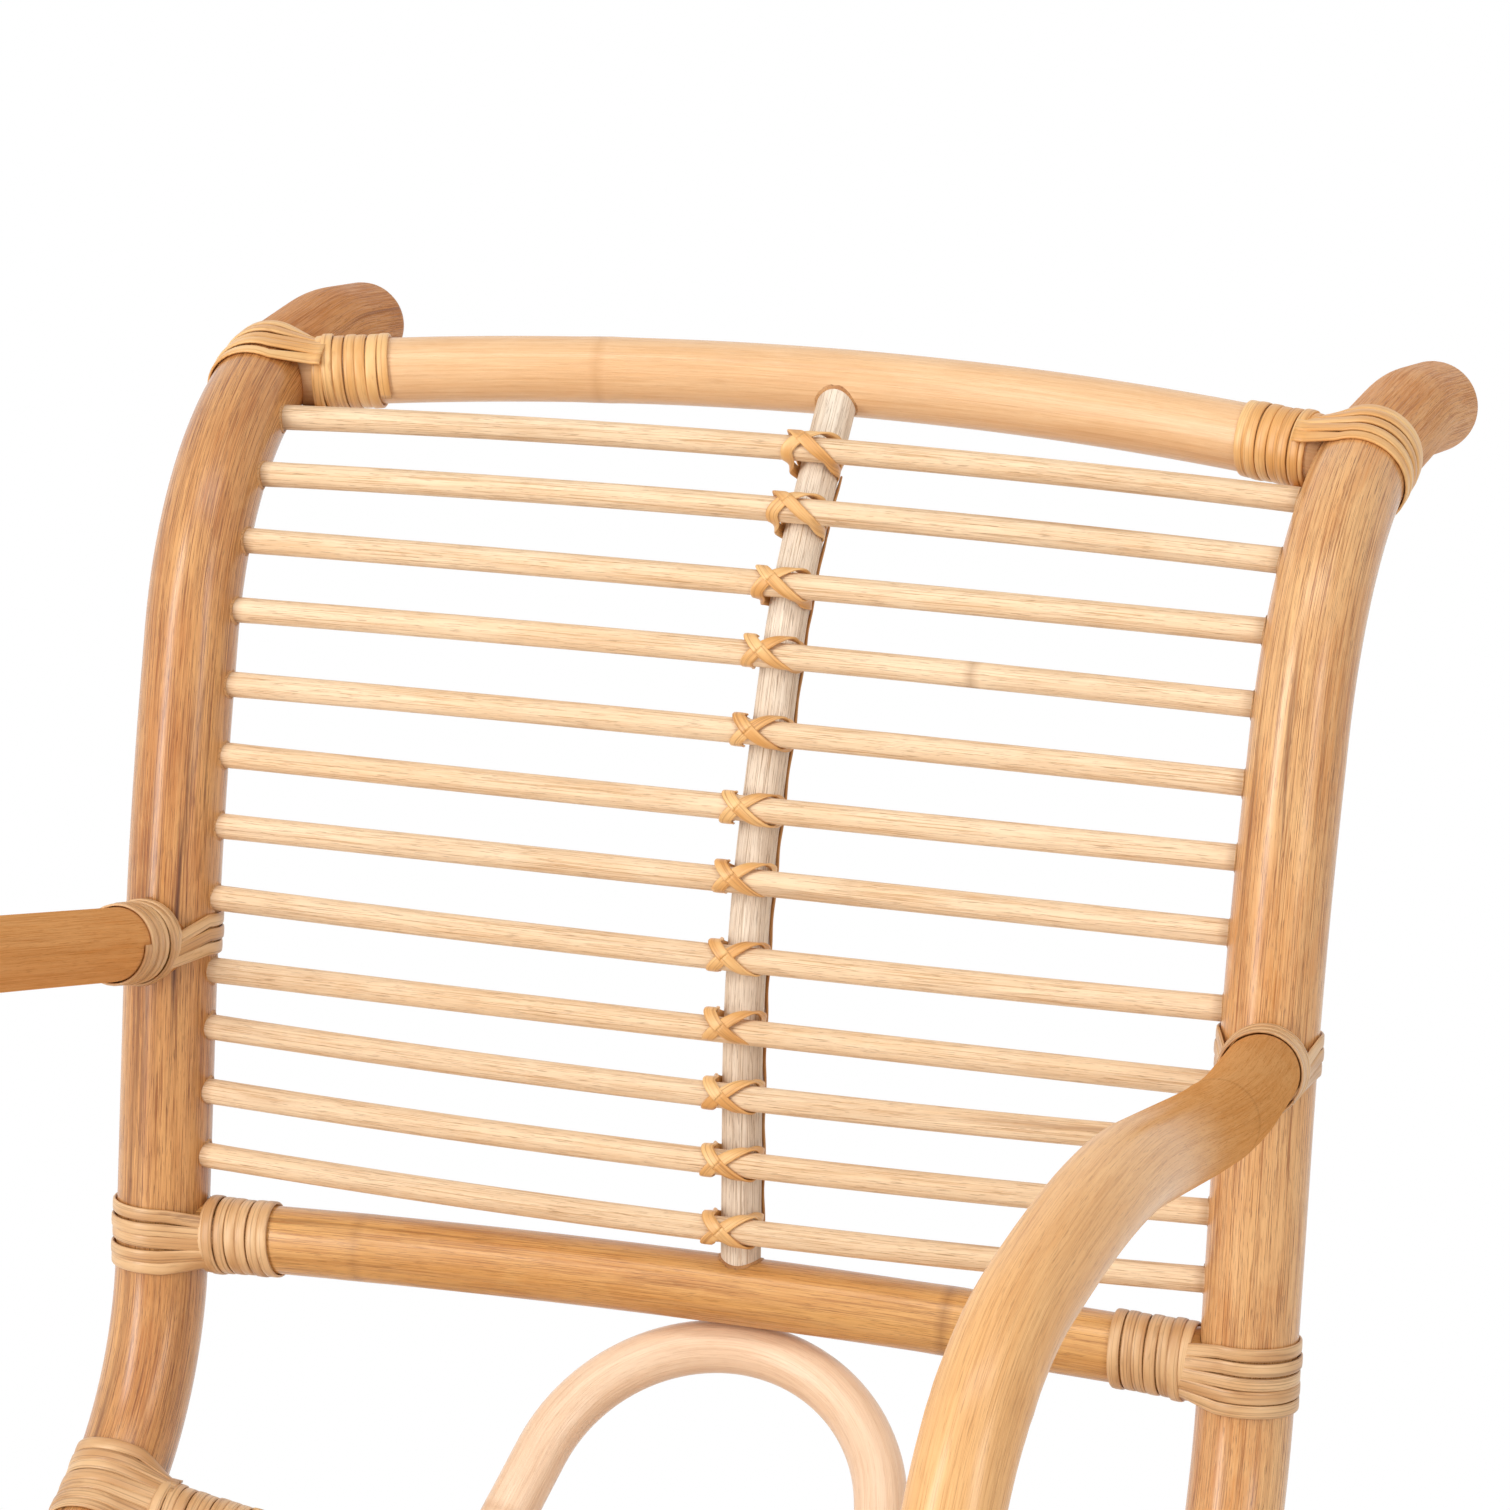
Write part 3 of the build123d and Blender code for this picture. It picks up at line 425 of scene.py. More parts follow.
def tube_mesh(
    line, radius, sides, knots=(), knot_size=0.25, shape=0.012, domes=(0, 0), seed=0, hosts=()
):
    """Rings of a natural cane: slightly uneven, thicker at its nodes, ends domed or coped."""
    chance = random.Random(seed)
    phase = [chance.uniform(0, 6.28) for _ in range(6)]
    offset = Vector((chance.uniform(0, 4000), chance.uniform(0, 4000), chance.uniform(0, 9000)))
    total = length_of(line)
    rings = []
    travelled = 0.0
    for index, (point, axes) in enumerate(zip(line, frames(line))):
        if index:
            travelled += (point - line[index - 1]).length
        rings.append((point, axes, travelled, 1.0))
    for end, dome in zip((0, -1), domes):
        if dome:
            rings = domed(rings, end, dome, radius, total)
    vertices, cane, marks = [], [], []
    for point, (_, u, v), place, shrink in rings:
        knot = 0.0
        swell = 0.0
        for where in knots:
            near = place - where
            knot += math.exp(-((near / 1.3) ** 2))
            swell += math.exp(-((near / 7.0) ** 2)) - 0.75 * math.exp(-(((near - 2) / 1.5) ** 2))
        for side in range(sides):
            angle = 2 * math.pi * side / sides
            lobes = math.sin(2 * angle + phase[0] + place / 170)
            lobes += 0.6 * math.sin(3 * angle + phase[1])
            wave = math.sin(place / 47 + phase[2] + angle) + math.sin(place / 90 + phase[3])
            size = radius * (1 - shape * (1.1 + 0.35 * lobes + 0.25 * wave)) + knot_size * swell
            size = min(size, radius) * shrink
            vertices.append(point + (u * math.cos(angle) + v * math.sin(angle)) * size)
            around = Vector((math.cos(angle), math.sin(angle), 0)) * radius * shrink
            cane.append(around + Vector((0, 0, place)) + offset)
            marks.append(min(knot, 1.0))
    for end, (centre, along_host, host_radius) in hosts:
        first = 0 if end == 0 else (len(rings) - 1) * sides
        direction = rings[end][1][0] * (-1 if end == 0 else 1)
        for index in range(first, first + sides):
            vertices[index] = slid(
                vertices[index], direction, (centre, along_host), host_radius + COPE_GAP
            )
    return vertices, skin(0, len(rings), sides), cane, marks


def tube(name, line, radius, material, slot, node, sides, **shape):
    """A cane along a line, which stands for a node of the frame."""
    vertices, faces, cane, marks = tube_mesh(line, radius, sides, **shape)
    piece = make_object(name, vertices, faces, material, cane, marks)
    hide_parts(node)


# a strip's section, in shares of its width and thickness
STRIP_PROFILE = [
    (-0.5, -0.5), (-0.5, 0.1), (-0.42, 0.42), (-0.2, 0.52),
    (0.2, 0.52), (0.42, 0.42), (0.5, 0.1), (0.5, -0.5),
]


class Bundle:
    """Strips of peel gathered into one mesh."""

    def __init__(self):
        self.vertices, self.faces, self.cane, self.marks = [], [], [], []

    def strip(self, points, normals, width, thickness, mark=0.0):
        """A flat strip along points, its outside facing the normals."""
        start = len(self.vertices)
        offset = Vector((random.uniform(0, 900), random.uniform(0, 900), random.uniform(0, 900)))
        travelled = 0.0
        for index, (point, normal) in enumerate(zip(points, normals)):
            if index:
                travelled += (point - points[index - 1]).length
            a = points[max(0, index - 1)]
            b = points[min(len(points) - 1, index + 1)]
            direction = (b - a).normalized()
            normal = (normal - direction * normal.dot(direction)).normalized()
            side = direction.cross(normal)
            for x, y in STRIP_PROFILE:
                self.vertices.append(point + side * x * width + normal * y * thickness)
                self.cane.append(Vector((x * width, y * thickness, travelled)) + offset)
                self.marks.append(mark)
        self.faces += skin(start, len(points), len(STRIP_PROFILE))

    def finish(self, name, material, node=None):
        """The gathered strips as a piece, which may stand for a node of the frame."""
        piece = make_object(
            name, self.vertices, self.faces, material, self.cane, self.marks
        )
        if node:
            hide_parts(node)


def at_distance(line, distance):
    """Point and frame at a distance along a line."""
    axes = frames(line)
    travelled = 0.0
    for index in range(1, len(line)):
        run = (line[index] - line[index - 1]).length
        if travelled + run >= distance:
            share = (distance - travelled) / run
            return line[index - 1].lerp(line[index], share), axes[index - 1]
        travelled += run
    return line[-1], axes[-1]


def wound(bundle, line, start, turns, radius, phase):
    """A strip of peel wound round a cane, turn beside turn, its first turn flat."""
    near = even(line[: int((start + turns * PEEL_WIDTH + 30) / 4) + 2], 1.0)
    axes = frames(near)
    pitch = length_of(near) / (len(near) - 1)
    waves = [random.uniform(0, 6.28) for _ in range(4)]
    steps = 36
    widths = turns - 0.8  # of the strip, over which its turns are spread
    points, normals = [], []
    for step in range((turns + 1) * steps + 1):
        angle = phase + 2 * math.pi * step / steps
        advance = max(0.0, step / steps - 1) / turns
        place = start + PEEL_WIDTH * (0.3 + widths * advance)
        place += 0.3 * math.sin(angle * 0.61 + waves[0]) + 0.35 * math.sin(angle + waves[1])
        proud = 0.2 + 0.2 * math.sin(angle * 0.37 + waves[2])
        if step > steps:
            proud += max(0.0, min(0.9, (start + 9 - place) * 0.3))
        index = max(0, min(len(near) - 1, int(round(place / pitch))))
        direction, u, v = axes[index]
        centre = near[index] + direction * (place - index * pitch)
        outward = u * math.cos(angle) + v * math.sin(angle)
        points.append(centre + outward * (radius + PEEL_GAP + PEEL_THICKNESS * 0.5 + proud))
        normals.append(outward)
    bundle.strip(points, normals, PEEL_WIDTH * widths / turns * 0.95, PEEL_THICKNESS)


def distance_to(line, point):
    """Distance along a line of the place nearest to a point."""
    travelled = 0.0
    best = (1e9, 0.0)
    for a, b in zip(line, line[1:]):
        run = (b - a).length
        share = max(0.0, min(1.0, (point - a).dot(b - a) / (run * run)))
        best = min(best, ((a.lerp(b, share) - point).length, travelled + run * share))
        travelled += run
    return best[1]


def across_to(axis, outward):
    """Two directions at right angles to an axis, the first one towards a cane."""
    towards = (outward - axis * outward.dot(axis)).normalized()
    return towards, axis.cross(towards)


def strapped(bundle, host_line, line, host_radius, cane_radius, rows, shift):
    """Strips that leave a cane, go round its host and come back to the cane."""
    where = distance_to(host_line, line[0])
    centre, axes = at_distance(host_line, where)
    outward = (line[3] - line[0]).normalized()
    towards, across = across_to(axes[0], outward)
    end_x = host_radius + WRAP_START + 0.5
    for row in range(rows):
        spread = (row - (rows - 1) / 2) * PEEL_WIDTH
        shaken = where + spread * 1.03 + shift + random.uniform(-0.4, 0.4)
        spot, row_axes = at_distance(host_line, shaken)
        row_towards, row_across = across_to(row_axes[0], outward)
        proud = STRAP_STEP * (row % 2) + random.uniform(0, 0.3)
        radius = host_radius + PEEL_GAP + PEEL_THICKNESS * 0.5 + proud
        end_h = max(-cane_radius * 0.85, min(cane_radius * 0.85, spread * 0.8))
        end_y = math.sqrt((cane_radius + 0.7) ** 2 - end_h**2)
        contact = math.atan2(end_y, end_x)
        contact += math.acos(min(1, radius / math.hypot(end_x, end_y)))
        wave = random.uniform(-0.5, 0.5)

        def round_host(angle, aside=0.0):
            normal = row_towards * math.cos(angle) + row_across * math.sin(angle)
            return spot + normal * radius + row_axes[0] * aside, normal

        def leaving(sign):
            """The run from the cane's side to the place where the strip meets the host."""
            flank = across * end_y * sign + axes[0] * end_h
            start, start_normal = centre + towards * end_x + flank, flank.normalized()
            end, end_normal = round_host(contact * sign)
            run = [(start + towards * 4.5, start_normal), (start + towards * 2, start_normal)]
            for step in range(9):
                share = step / 8
                normal = start_normal.lerp(end_normal, share).normalized()
                run.append((start.lerp(end, share), normal))
            return run

        route = leaving(1)
        for step in range(1, 30):
            angle = contact + (2 * math.pi - 2 * contact) * step / 30
            route.append(round_host(angle, wave * math.sin(math.pi * step / 30)))
        route += reversed(leaving(-1))
        points, normals = zip(*route)
        bundle.strip(points, normals, PEEL_WIDTH * 0.93, PEEL_THICKNESS)


def both_sides(
    name, material, node, host_line, line, host_radius, cane_radius, rows, turns, shift
):
    """A node's bindings on the right and, drawn again by chance, on the left."""
    bundle = Bundle()
    for sign in (1, -1):
        side_line = on_side(sign, line)
        strapped(
            bundle, on_side(sign, host_line), side_line, host_radius, cane_radius, rows, shift
        )
        first = host_radius + WRAP_START - 1.5
        wound(bundle, side_line, first, turns, cane_radius, random.uniform(0, 6.28))
    bundle.finish(name, material, node)


# ============================================================ materials
def colour(r, g, b):
    """A colour written as it shows on a screen, from 0 to 255."""
    result = []
    for value in (r, g, b):
        value /= 255
        result.append(value / 12.92 if value <= 0.04045 else ((value + 0.055) / 1.055) ** 2.4)
    return (*result, 1.0)


WHITE = (1.0, 1.0, 1.0, 1.0)
# darker tone of painted shade, mixed into the rear ends of some canes
PAINTED_SHADE_TONE = colour(202, 124, 54)
# stretches along y, in metres, behind which a cane has lost its lacquer and its colour is darkened
# as painted shade
BARE_AND_SHADED_ENDS = (0.27, 0.33)
ARM_BARE_AND_SHADED_ENDS = (-0.28, -0.08)


class Shader:
    """A node tree in the making."""

    def __init__(self, owner):
        owner.use_nodes = True
        self.nodes = owner.node_tree.nodes
        self.links = owner.node_tree.links

    def add(self, kind, inputs=None, **settings):
        """A node with its inputs linked or set, and its own settings."""
        node = self.nodes.new(kind)
        for key, value in settings.items():
            setattr(node, key, value)
        self.feed(node, inputs or {})
        return node

    def feed(self, node, inputs):
        """Links or sets the inputs of a node."""
        for key, value in inputs.items():
            if isinstance(value, bpy.types.NodeSocket):
                self.links.new(value, node.inputs[key])
            else:
                node.inputs[key].default_value = value

    def grain(self, across, lengthwise, detail=4.0, rough=0.55, distortion=0.0, shift=0.0):
        """Noise drawn out along the cane."""
        source = self.add("ShaderNodeAttribute", attribute_name="cane").outputs["Vector"]
        mapped = self.add(
            "ShaderNodeMapping",
            {"Vector": source, "Scale": (across, across, lengthwise), "Location": (shift,) * 3},
        )
        noise = self.add(
            "ShaderNodeTexNoise",
            {"Vector": mapped.outputs[0], "Scale": 1.0, "Detail": detail, "Roughness": rough,
             "Distortion": distortion},
        )
        return noise.outputs["Fac"]

    def ramp(self, value, low, high, bottom=0.0, top=1.0):
        """The value between two limits, spread from bottom to top."""
        node = self.add(
            "ShaderNodeMapRange",
            {"Value": value, "From Min": low, "From Max": high, "To Min": bottom, "To Max": top},
            interpolation_type="SMOOTHSTEP",
        )
        return node.outputs["Result"]

    def mix(self, share, first, second):
        node = self.add("ShaderNodeMix", {0: share, 6: first, 7: second}, data_type="RGBA")
        return node.outputs[2]

    def math(self, operation, first, second):
        node = self.add("ShaderNodeMath", {0: first, 1: second}, operation=operation)
        return node.outputs[0]

    def share_of(self, value, share):
        return self.math("MULTIPLY", value, share)

    def seen(self):
        """1 where the camera sees the surface, also through gloss or glass."""
        rays = self.add("ShaderNodeLightPath").outputs
        straight = self.math("MAXIMUM", rays["Is Camera Ray"], rays["Is Transmission Ray"])
        return self.math("MAXIMUM", straight, rays["Is Glossy Ray"])


class Surface(Shader):
    """A material around its Principled BSDF."""

    def __init__(self, name):
        self.material = bpy.data.materials.new(name)
        super().__init__(self.material)
        self.base = self.nodes["Principled BSDF"]

    def bump(self, strength, height):
        node = self.add(
            "ShaderNodeBump", {"Strength": strength, "Distance": 0.0004, "Height": height}
        )
        self.feed(self.base, {"Normal": node.outputs[0]})


def cane_material(
    name, *tones, gloss, coat, streaks, contrast, grain, unlacquered_shaded_ends=None, shine=0.15
):
    """Round cane: broad tones, pale patches of painted sheen, dark streaks, fine fibres and rings
    at the nodes; where asked, behind a given depth it is darkened as painted shade and loses its
    coat.
    """
    pale, main, dark, knot = (colour(*tone) for tone in tones)
    s = Surface(name)
    broad = s.ramp(s.grain(34, 6.0, 4.0, 0.6, 0.6), 0.36, 0.64)
    medium = s.ramp(s.grain(330, 9.0, 5.0, 0.65, 0.3, 3.0), 0.42, 0.66)
    painted_sheen = s.ramp(s.grain(60, 30.0, 4.0, 0.6, 0.8, 13.0), 0.45, 0.68)
    fine = s.ramp(s.grain(1300, 24.0, 4.0, 0.7, 0.0, 7.0), 0.38, 0.62)
    hair = s.ramp(s.grain(2300, 22.0, 3.0, 0.6, 0.0, 11.0), 0.54, 0.62)
    pores = s.ramp(s.grain(2600, 120.0, 2.0, 0.5, 0.0, 17.0), 0.58, 0.68)
    streak = s.ramp(s.grain(200, 3.2, 6.0, 0.7, 0.5, 5.0), 0.53, 0.68)
    region = s.ramp(s.grain(26, 3.0, 2.0, 0.5, 0.0, 9.0), 0.43, 0.6)
    base = s.mix(s.share_of(broad, 0.7 * contrast), main, pale)
    base = s.mix(s.share_of(medium, 0.42 * contrast), base, dark)
    # painted sheen: pale patches mixed in, standing in for highlights on the lacquer
    base = s.mix(s.share_of(painted_sheen, 0.34 * contrast), base, pale)
    base = s.mix(s.share_of(fine, 0.4 * contrast), base, pale)
    base = s.mix(s.share_of(s.math("MULTIPLY", streak, region), streaks), base, knot)
    base = s.mix(s.share_of(hair, grain), base, dark)
    base = s.mix(s.share_of(pores, grain * 0.7), base, knot)
    if unlacquered_shaded_ends:
        # painted shade: behind the given stretch the colour is darkened towards a darker tone, and
        # the coat is taken off
        place = s.add("ShaderNodeTexCoord").outputs["Object"]
        bare_and_shaded = s.ramp(s.add("ShaderNodeSeparateXYZ", {0: place}).outputs["Y"], *unlacquered_shaded_ends)
        base = s.mix(s.share_of(bare_and_shaded, 0.4), base, PAINTED_SHADE_TONE)
        s.feed(s.base, {"Coat Weight": s.ramp(bare_and_shaded, 0.0, 1.0, coat, 0.0)})
    marks = s.add("ShaderNodeAttribute", attribute_name="knot").outputs["Fac"]
    height = s.math("SUBTRACT", s.share_of(fine, 0.6), s.share_of(hair, 0.6))
    s.feed(s.base, {
        "Base Color": s.mix(s.share_of(marks, 0.4), base, knot),
        "Roughness": s.ramp(fine, 0.0, 1.0, gloss + 0.14, gloss),
        "Coat Weight": coat,
        "Coat Roughness": 0.26,
        "Specular IOR Level": shine,
    })
    s.bump(0.45, s.math("SUBTRACT", height, s.share_of(marks, 0.8)))
    return s.material


def peel_material(name, *tones, gloss=0.42):
    """Flat strip of cane bark: fine lines along it, broad tones, stains, darker where marked."""
    pale, main, dark = (colour(*tone) for tone in tones)
    s = Surface(name)
    lines = s.grain(1300, 14.0, 3.0, 0.6)
    broad = s.ramp(s.grain(120, 26.0, 3.0, 0.5, 0.0, 4.0), 0.35, 0.66)
    stain = s.ramp(s.grain(300, 60.0, 4.0, 0.6, 0.4, 8.0), 0.58, 0.74)
    base = s.mix(broad, main, pale)
    base = s.mix(s.share_of(s.ramp(lines, 0.5, 0.66), 0.55), base, dark)
    base = s.mix(s.share_of(stain, 0.4), base, dark)
    marks = s.add("ShaderNodeAttribute", attribute_name="knot").outputs["Fac"]
    s.feed(s.base, {
        "Base Color": s.mix(marks, base, dark),
        "Roughness": gloss,
        "Coat Weight": 0.15,
        "Coat Roughness": 0.3,
    })
    s.bump(0.25, lines)
    return s.material


# tones of a cane: pale, main, dark and at its nodes
honey = cane_material(
    "honey_cane", (238, 190, 132), (212, 146, 82), (160, 96, 42), (104, 54, 20),
    gloss=0.4, coat=0.9, streaks=0.9, contrast=1.1, grain=0.8, unlacquered_shaded_ends=BARE_AND_SHADED_ENDS,
)
browner = cane_material(
    "brown_cane", (222, 166, 104), (186, 118, 58), (142, 82, 36), (96, 50, 18),
    gloss=0.4, coat=0.9, streaks=1.0, contrast=1.2, grain=0.85, unlacquered_shaded_ends=BARE_AND_SHADED_ENDS,
)
arm_tone = cane_material(
    "arm_cane", (242, 194, 136), (226, 168, 106), (190, 128, 68), (138, 82, 38),
    gloss=0.4, coat=0.8, streaks=0.4, contrast=0.8, grain=0.45, unlacquered_shaded_ends=ARM_BARE_AND_SHADED_ENDS, shine=0.0,
)
rail_tone = cane_material(
    "rail_cane", (232, 180, 112), (208, 146, 78), (164, 102, 48), (116, 64, 26),
    gloss=0.36, coat=0.8, streaks=0.75, contrast=1.0, grain=0.55,
)
peeled = cane_material(
    "peeled_cane", (246, 208, 164), (232, 184, 134), (216, 160, 106), (194, 134, 82),
    gloss=0.4, coat=0.6, streaks=0.3, contrast=0.7, grain=0.28,
)
pinkish = cane_material(
    "hoop_cane", (252, 226, 198), (246, 210, 176), (218, 172, 132), (192, 142, 98),
    gloss=0.4, coat=0.6, streaks=0.25, contrast=0.7, grain=0.3,
)
straw = cane_material(
    "straw_cane", (250, 226, 194), (240, 206, 166), (204, 156, 108), (148, 98, 58),
    gloss=0.46, coat=0.08, streaks=0.5, contrast=0.9, grain=0.65,
)
grey = cane_material(
    "grey_cane", (252, 240, 224), (234, 213, 188), (188, 158, 128), (146, 112, 82),
    gloss=0.62, coat=0.0, streaks=0.5, contrast=1.1, grain=0.8,
)
golden = peel_material("golden_peel", (238, 192, 130), (220, 162, 94), (164, 104, 48))
light_peel = peel_material("pale_peel", (224, 184, 136), (200, 152, 102), (132, 86, 46))
torn = peel_material("torn_rim", (206, 156, 104), (176, 122, 74), (110, 66, 32), gloss=0.7)

# ============================================================ canes
LEG_HOST = (FRONT_FOOT - KNUCKLE).normalized()
REAR_LEG_HOST = (REAR_FOOT - REAR_TOP).normalized()


def rocker_direction(y):
    return Vector((0, -1, -(y - CONTACT_Y) / ROCKER_BEND)).normalized()


def host_of(sign, end, centre, direction, radius):
    """A tube's end with the point, direction and radius of the cane that it butts on."""
    return end, (*on_side(sign, [centre, direction]), radius)


def between(line, start, start_radius, end, end_radius):
    """The stretch of a line that lies clear of the canes which it butts on."""
    return [
        p for p in line
        if (p - start).length > start_radius + COPE_LENGTH
        and (p - end).length > end_radius + COPE_LENGTH
    ]


pole_line = [p for p in post if (p - FRONT_JOINT).length > ARM + SIDE_COPE_LENGTH]
arm_line = between(arm, ARM_START, POLE, arm[-1], ROCKER)
leg_line = between(rear_leg, REAR_TOP, POLE, REAR_FOOT, ROCKER)
for sign, side in ((1, "right"), (-1, "left")):
    tube(
        f"pole_{side}", on_side(sign, pole_line), POLE, honey if sign == 1 else browner,
        "honey_cane", f"side_pole_{side}", 72, knots=(760, 1010), seed=11 + sign,
        domes=(TIP_ROUND, 0), knot_size=0.15,
        hosts=(host_of(sign, -1, FRONT_JOINT, LEG_HOST, ARM),),
    )
    tube(
        f"arm_{side}", on_side(sign, arm_line), ARM, arm_tone,
        "honey_cane", f"arm_{side}", 56, knots=(205, 530, 860), seed=21 + sign,
        hosts=(
            host_of(sign, 0, ARM_START, ARM_HOST, POLE),
            host_of(sign, -1, FRONT_FOOT, rocker_direction(FOOT_Y), ROCKER),
        ),
    )
    tube(
        f"leg_{side}", on_side(sign, leg_line), LEG, honey,
        "honey_cane", f"rear_leg_{side}", 48, knots=(150,), seed=31 + sign,
        hosts=(
            host_of(sign, 0, REAR_TOP, REAR_TOP_HOST, POLE),
            host_of(sign, -1, REAR_FOOT, rocker_direction(REAR_FOOT_Y), ROCKER),
        ),
    )
    tube(
        f"rocker_{side}", on_side(sign, rocker), ROCKER, honey,
        "honey_cane", f"rocker_{side}", 56, knots=(260, 640), seed=41 + sign,
        domes=(ROCKER, ROCKER),
    )

for name, line, radius, material, slot, knots, centre, along_host, host_radius in (
    ("top_rail", top_rail, RAIL, peeled, "peeled_cane", (312,), TOP_JOINT, TOP_HOST, POLE),
    ("lower_rail", lower_rail, RAIL, rail_tone, "rail_cane", (96, 354),
     LOWER_JOINT, LOWER_HOST, POLE),
    ("seat_rear_rail", rear_rail, RAIL, rail_tone, "rail_cane", (150, 330),
     REAR_JOINT, REAR_HOST, POLE),
    ("seat_front_rail", front_rail, RAIL, rail_tone, "rail_cane", (90, 290),
     FRONT_RAIL_JOINT, FRONT_HOST, POLE),
    ("front_stretcher", front_stretcher, STRETCHER, rail_tone, "rail_cane", (190, 390),
     FRONT_STRETCHER_END, LEG_HOST, ARM),
    ("rear_stretcher", rear_stretcher, STRETCHER, rail_tone, "rail_cane", (120, 330),
     REAR_STRETCHER_END, REAR_LEG_HOST, LEG),
):
    tube(
        f"{name}_cane", between(line, line[0], host_radius, line[-1], host_radius), radius,
        material, slot, name, 48, knots=knots, seed=len(name),
        hosts=(
            host_of(1, 0, centre, along_host, host_radius),
            host_of(-1, -1, centre, along_host, host_radius),
        ),
    )

tube(
    "spindle_cane", spindle, SPINDLE, grey, "grey_cane", "spindle", 40,
    knot_size=0.15, shape=0.03, seed=5,
)
tube(
    "hoop_cane", hoop, HOOP, pinkish, "peeled_cane", "hoop", 48,
    knots=(330, 760), knot_size=0.2, seed=6, domes=(4, 4),
)

SOCKET_MARK = 12.6  # from a slat's end to the dark ring where it leaves its hole
KNOTTED_SLATS = (4, 7, 11)


def slat_cane(kind, number, line, knots, seed):
    name = f"{kind}_slat_{number:02d}"
    ends = [SOCKET_MARK, length_of(line) - SOCKET_MARK]
    tube(
        f"{name}_cane", line, SLAT, straw, "straw_cane", name, 28,
        knots=ends + knots, knot_size=0.12, seed=seed + number,
    )


for number, slat in enumerate(back_slats, 1):
    line = arc_across(slat.anchor, slat.bow, slat.anchor.x - POLE + SOCKET_DEPTH)
    knot = random.Random(number).uniform(60, 400)
    if number == 4:
        knot = 128.0  # seen in the photograph
    slat_cane("back", number, line, [knot] if number in KNOTTED_SLATS else [], 50)
for number, (anchor, _) in enumerate(seat_slats, 1):
    line = straight_across(Vector((anchor.x - POLE + SOCKET_DEPTH, anchor.y, anchor.z)))
    slat_cane("seat", number, line, [random.Random(90 + number).uniform(60, 420)], 70)

# ============================================================ bindings
# lines that start at the joint which is bound
leg_up = list(reversed(arm))
rear_up = list(reversed(rear_leg))
pole_back = [FRONT_JOINT] + [p for p in reversed(post) if (p - FRONT_JOINT).length > 7]
front_leg = even([KNUCKLE, FRONT_FOOT])
for name, material, slot, host_line, line, host_radius, cane_radius, rows, turns, shift in (
    ("top_rail", golden, "golden_peel", post, top_rail, POLE, RAIL, 5, 6, 3.0),
    ("arm", light_peel, "pale_peel", post, arm, POLE, ARM, 3, 5, -5.0),
    ("lower_rail", light_peel, "pale_peel", post, lower_rail, POLE, RAIL, 5, 6, 0.0),
    ("seat_rear", light_peel, "pale_peel", post, rear_rail, POLE, RAIL, 7, 8, 0.0),
    ("seat_front", light_peel, "pale_peel", post, front_rail, POLE, RAIL, 4, 6, 0.0),
    ("seat_side", light_peel, "pale_peel", front_leg, pole_back, ARM, POLE, 5, 3, 0.0),
    ("rear_leg", light_peel, "pale_peel", post, rear_leg, POLE, LEG, 5, 6, 0.0),
    ("front_foot", light_peel, "pale_peel", rocker, leg_up, ROCKER, ARM, 5, 6, 0.0),
    ("rear_foot", light_peel, "pale_peel", rocker, rear_up, ROCKER, LEG, 5, 6, 0.0),
    ("front_stretcher", light_peel, "pale_peel", front_leg, front_stretcher,
     ARM, STRETCHER, 3, 5, 0.0),
    ("rear_stretcher", light_peel, "pale_peel", rear_leg, rear_stretcher,
     LEG, STRETCHER, 3, 5, 0.0),
):
    both_sides(f"{name}_wraps", material, f"{name}_bindings", host_line, line,
               host_radius, cane_radius, rows, turns, shift)


# ============================================================ lashings
def curved(keys):
    """A closed smooth line through key points."""
    line = []
    count = len(keys)
    steps = 8
    for index in range(count):
        a, b, c, d = (keys[(index + k - 1) % count] for k in range(4))
        for step in range(steps):
            t = step / steps
            square, cube = 2 * a - 5 * b + 4 * c - d, 3 * b - a - 3 * c + d
            line.append(0.5 * ((2 * b) + (c - a) * t + square * t**2 + cube * t**3))
    line.append(line[0])
    return line


def lashed(bundle, centre, forward, rear, aside=0.0):
    """An X of peel round a slat and the cane behind it, which it crosses."""
    away = -forward
    y = away.cross(ACROSS).normalized()
    distance = SLAT + rear + TOUCH_GAP
    near, far, beside = SLAT + 0.75, rear + 0.75, rear + 0.8
    for sign in (1, -1):
        jitter = [random.uniform(-0.6, 0.6) for _ in range(6)]
        lift = 0.35 if sign == 1 else 0.0
        keys = [
            Vector((-aside, jitter[0] * 0.5, -near - 0.3 - lift)),
            Vector((beside * 0.45 - aside * 0.4, sign * near * 0.82, -near * 0.62)),
            Vector((beside * 0.8, sign * (near + 0.2) + jitter[1] * 0.3, near * 0.3)),
            Vector((beside + 0.1, sign * near * 0.4 + jitter[2], distance - rear * 0.2)),
            Vector((0, jitter[3], distance + far + 0.2 + lift)),
            Vector((-beside - 0.1, -sign * near * 0.4 + jitter[4], distance - rear * 0.2)),
            Vector((
                -beside * 0.85 - aside * 0.5, -sign * (near + 0.2) + jitter[5] * 0.3, near * 0.3,
            )),
            Vector((-beside * 0.62 - aside * 0.85, -sign * near * 0.82, -near * 0.62)),
        ]
        points, normals = [], []
        for spot in curved(keys):
            share = (spot.z - near * 0.2) / (distance - rear - near * 0.2 + 4)
            round_front = Vector((0, spot.y, spot.z)).normalized()
            round_rear = Vector((spot.x, 0, spot.z - distance)).normalized()
            normal = round_front.lerp(round_rear, max(0.0, min(1.0, share))).normalized()
            points.append(centre + ACROSS * spot.x + y * spot.y + away * spot.z)
            normals.append(ACROSS * normal.x + y * normal.y + away * normal.z)
        bundle.strip(points, normals, LASH_WIDTH, LASH_THICKNESS)


lashings = Bundle()
for slat in back_slats:
    lashed(lashings, slat.crossing, slat.forward, SPINDLE, random.uniform(3.4, 5.0))
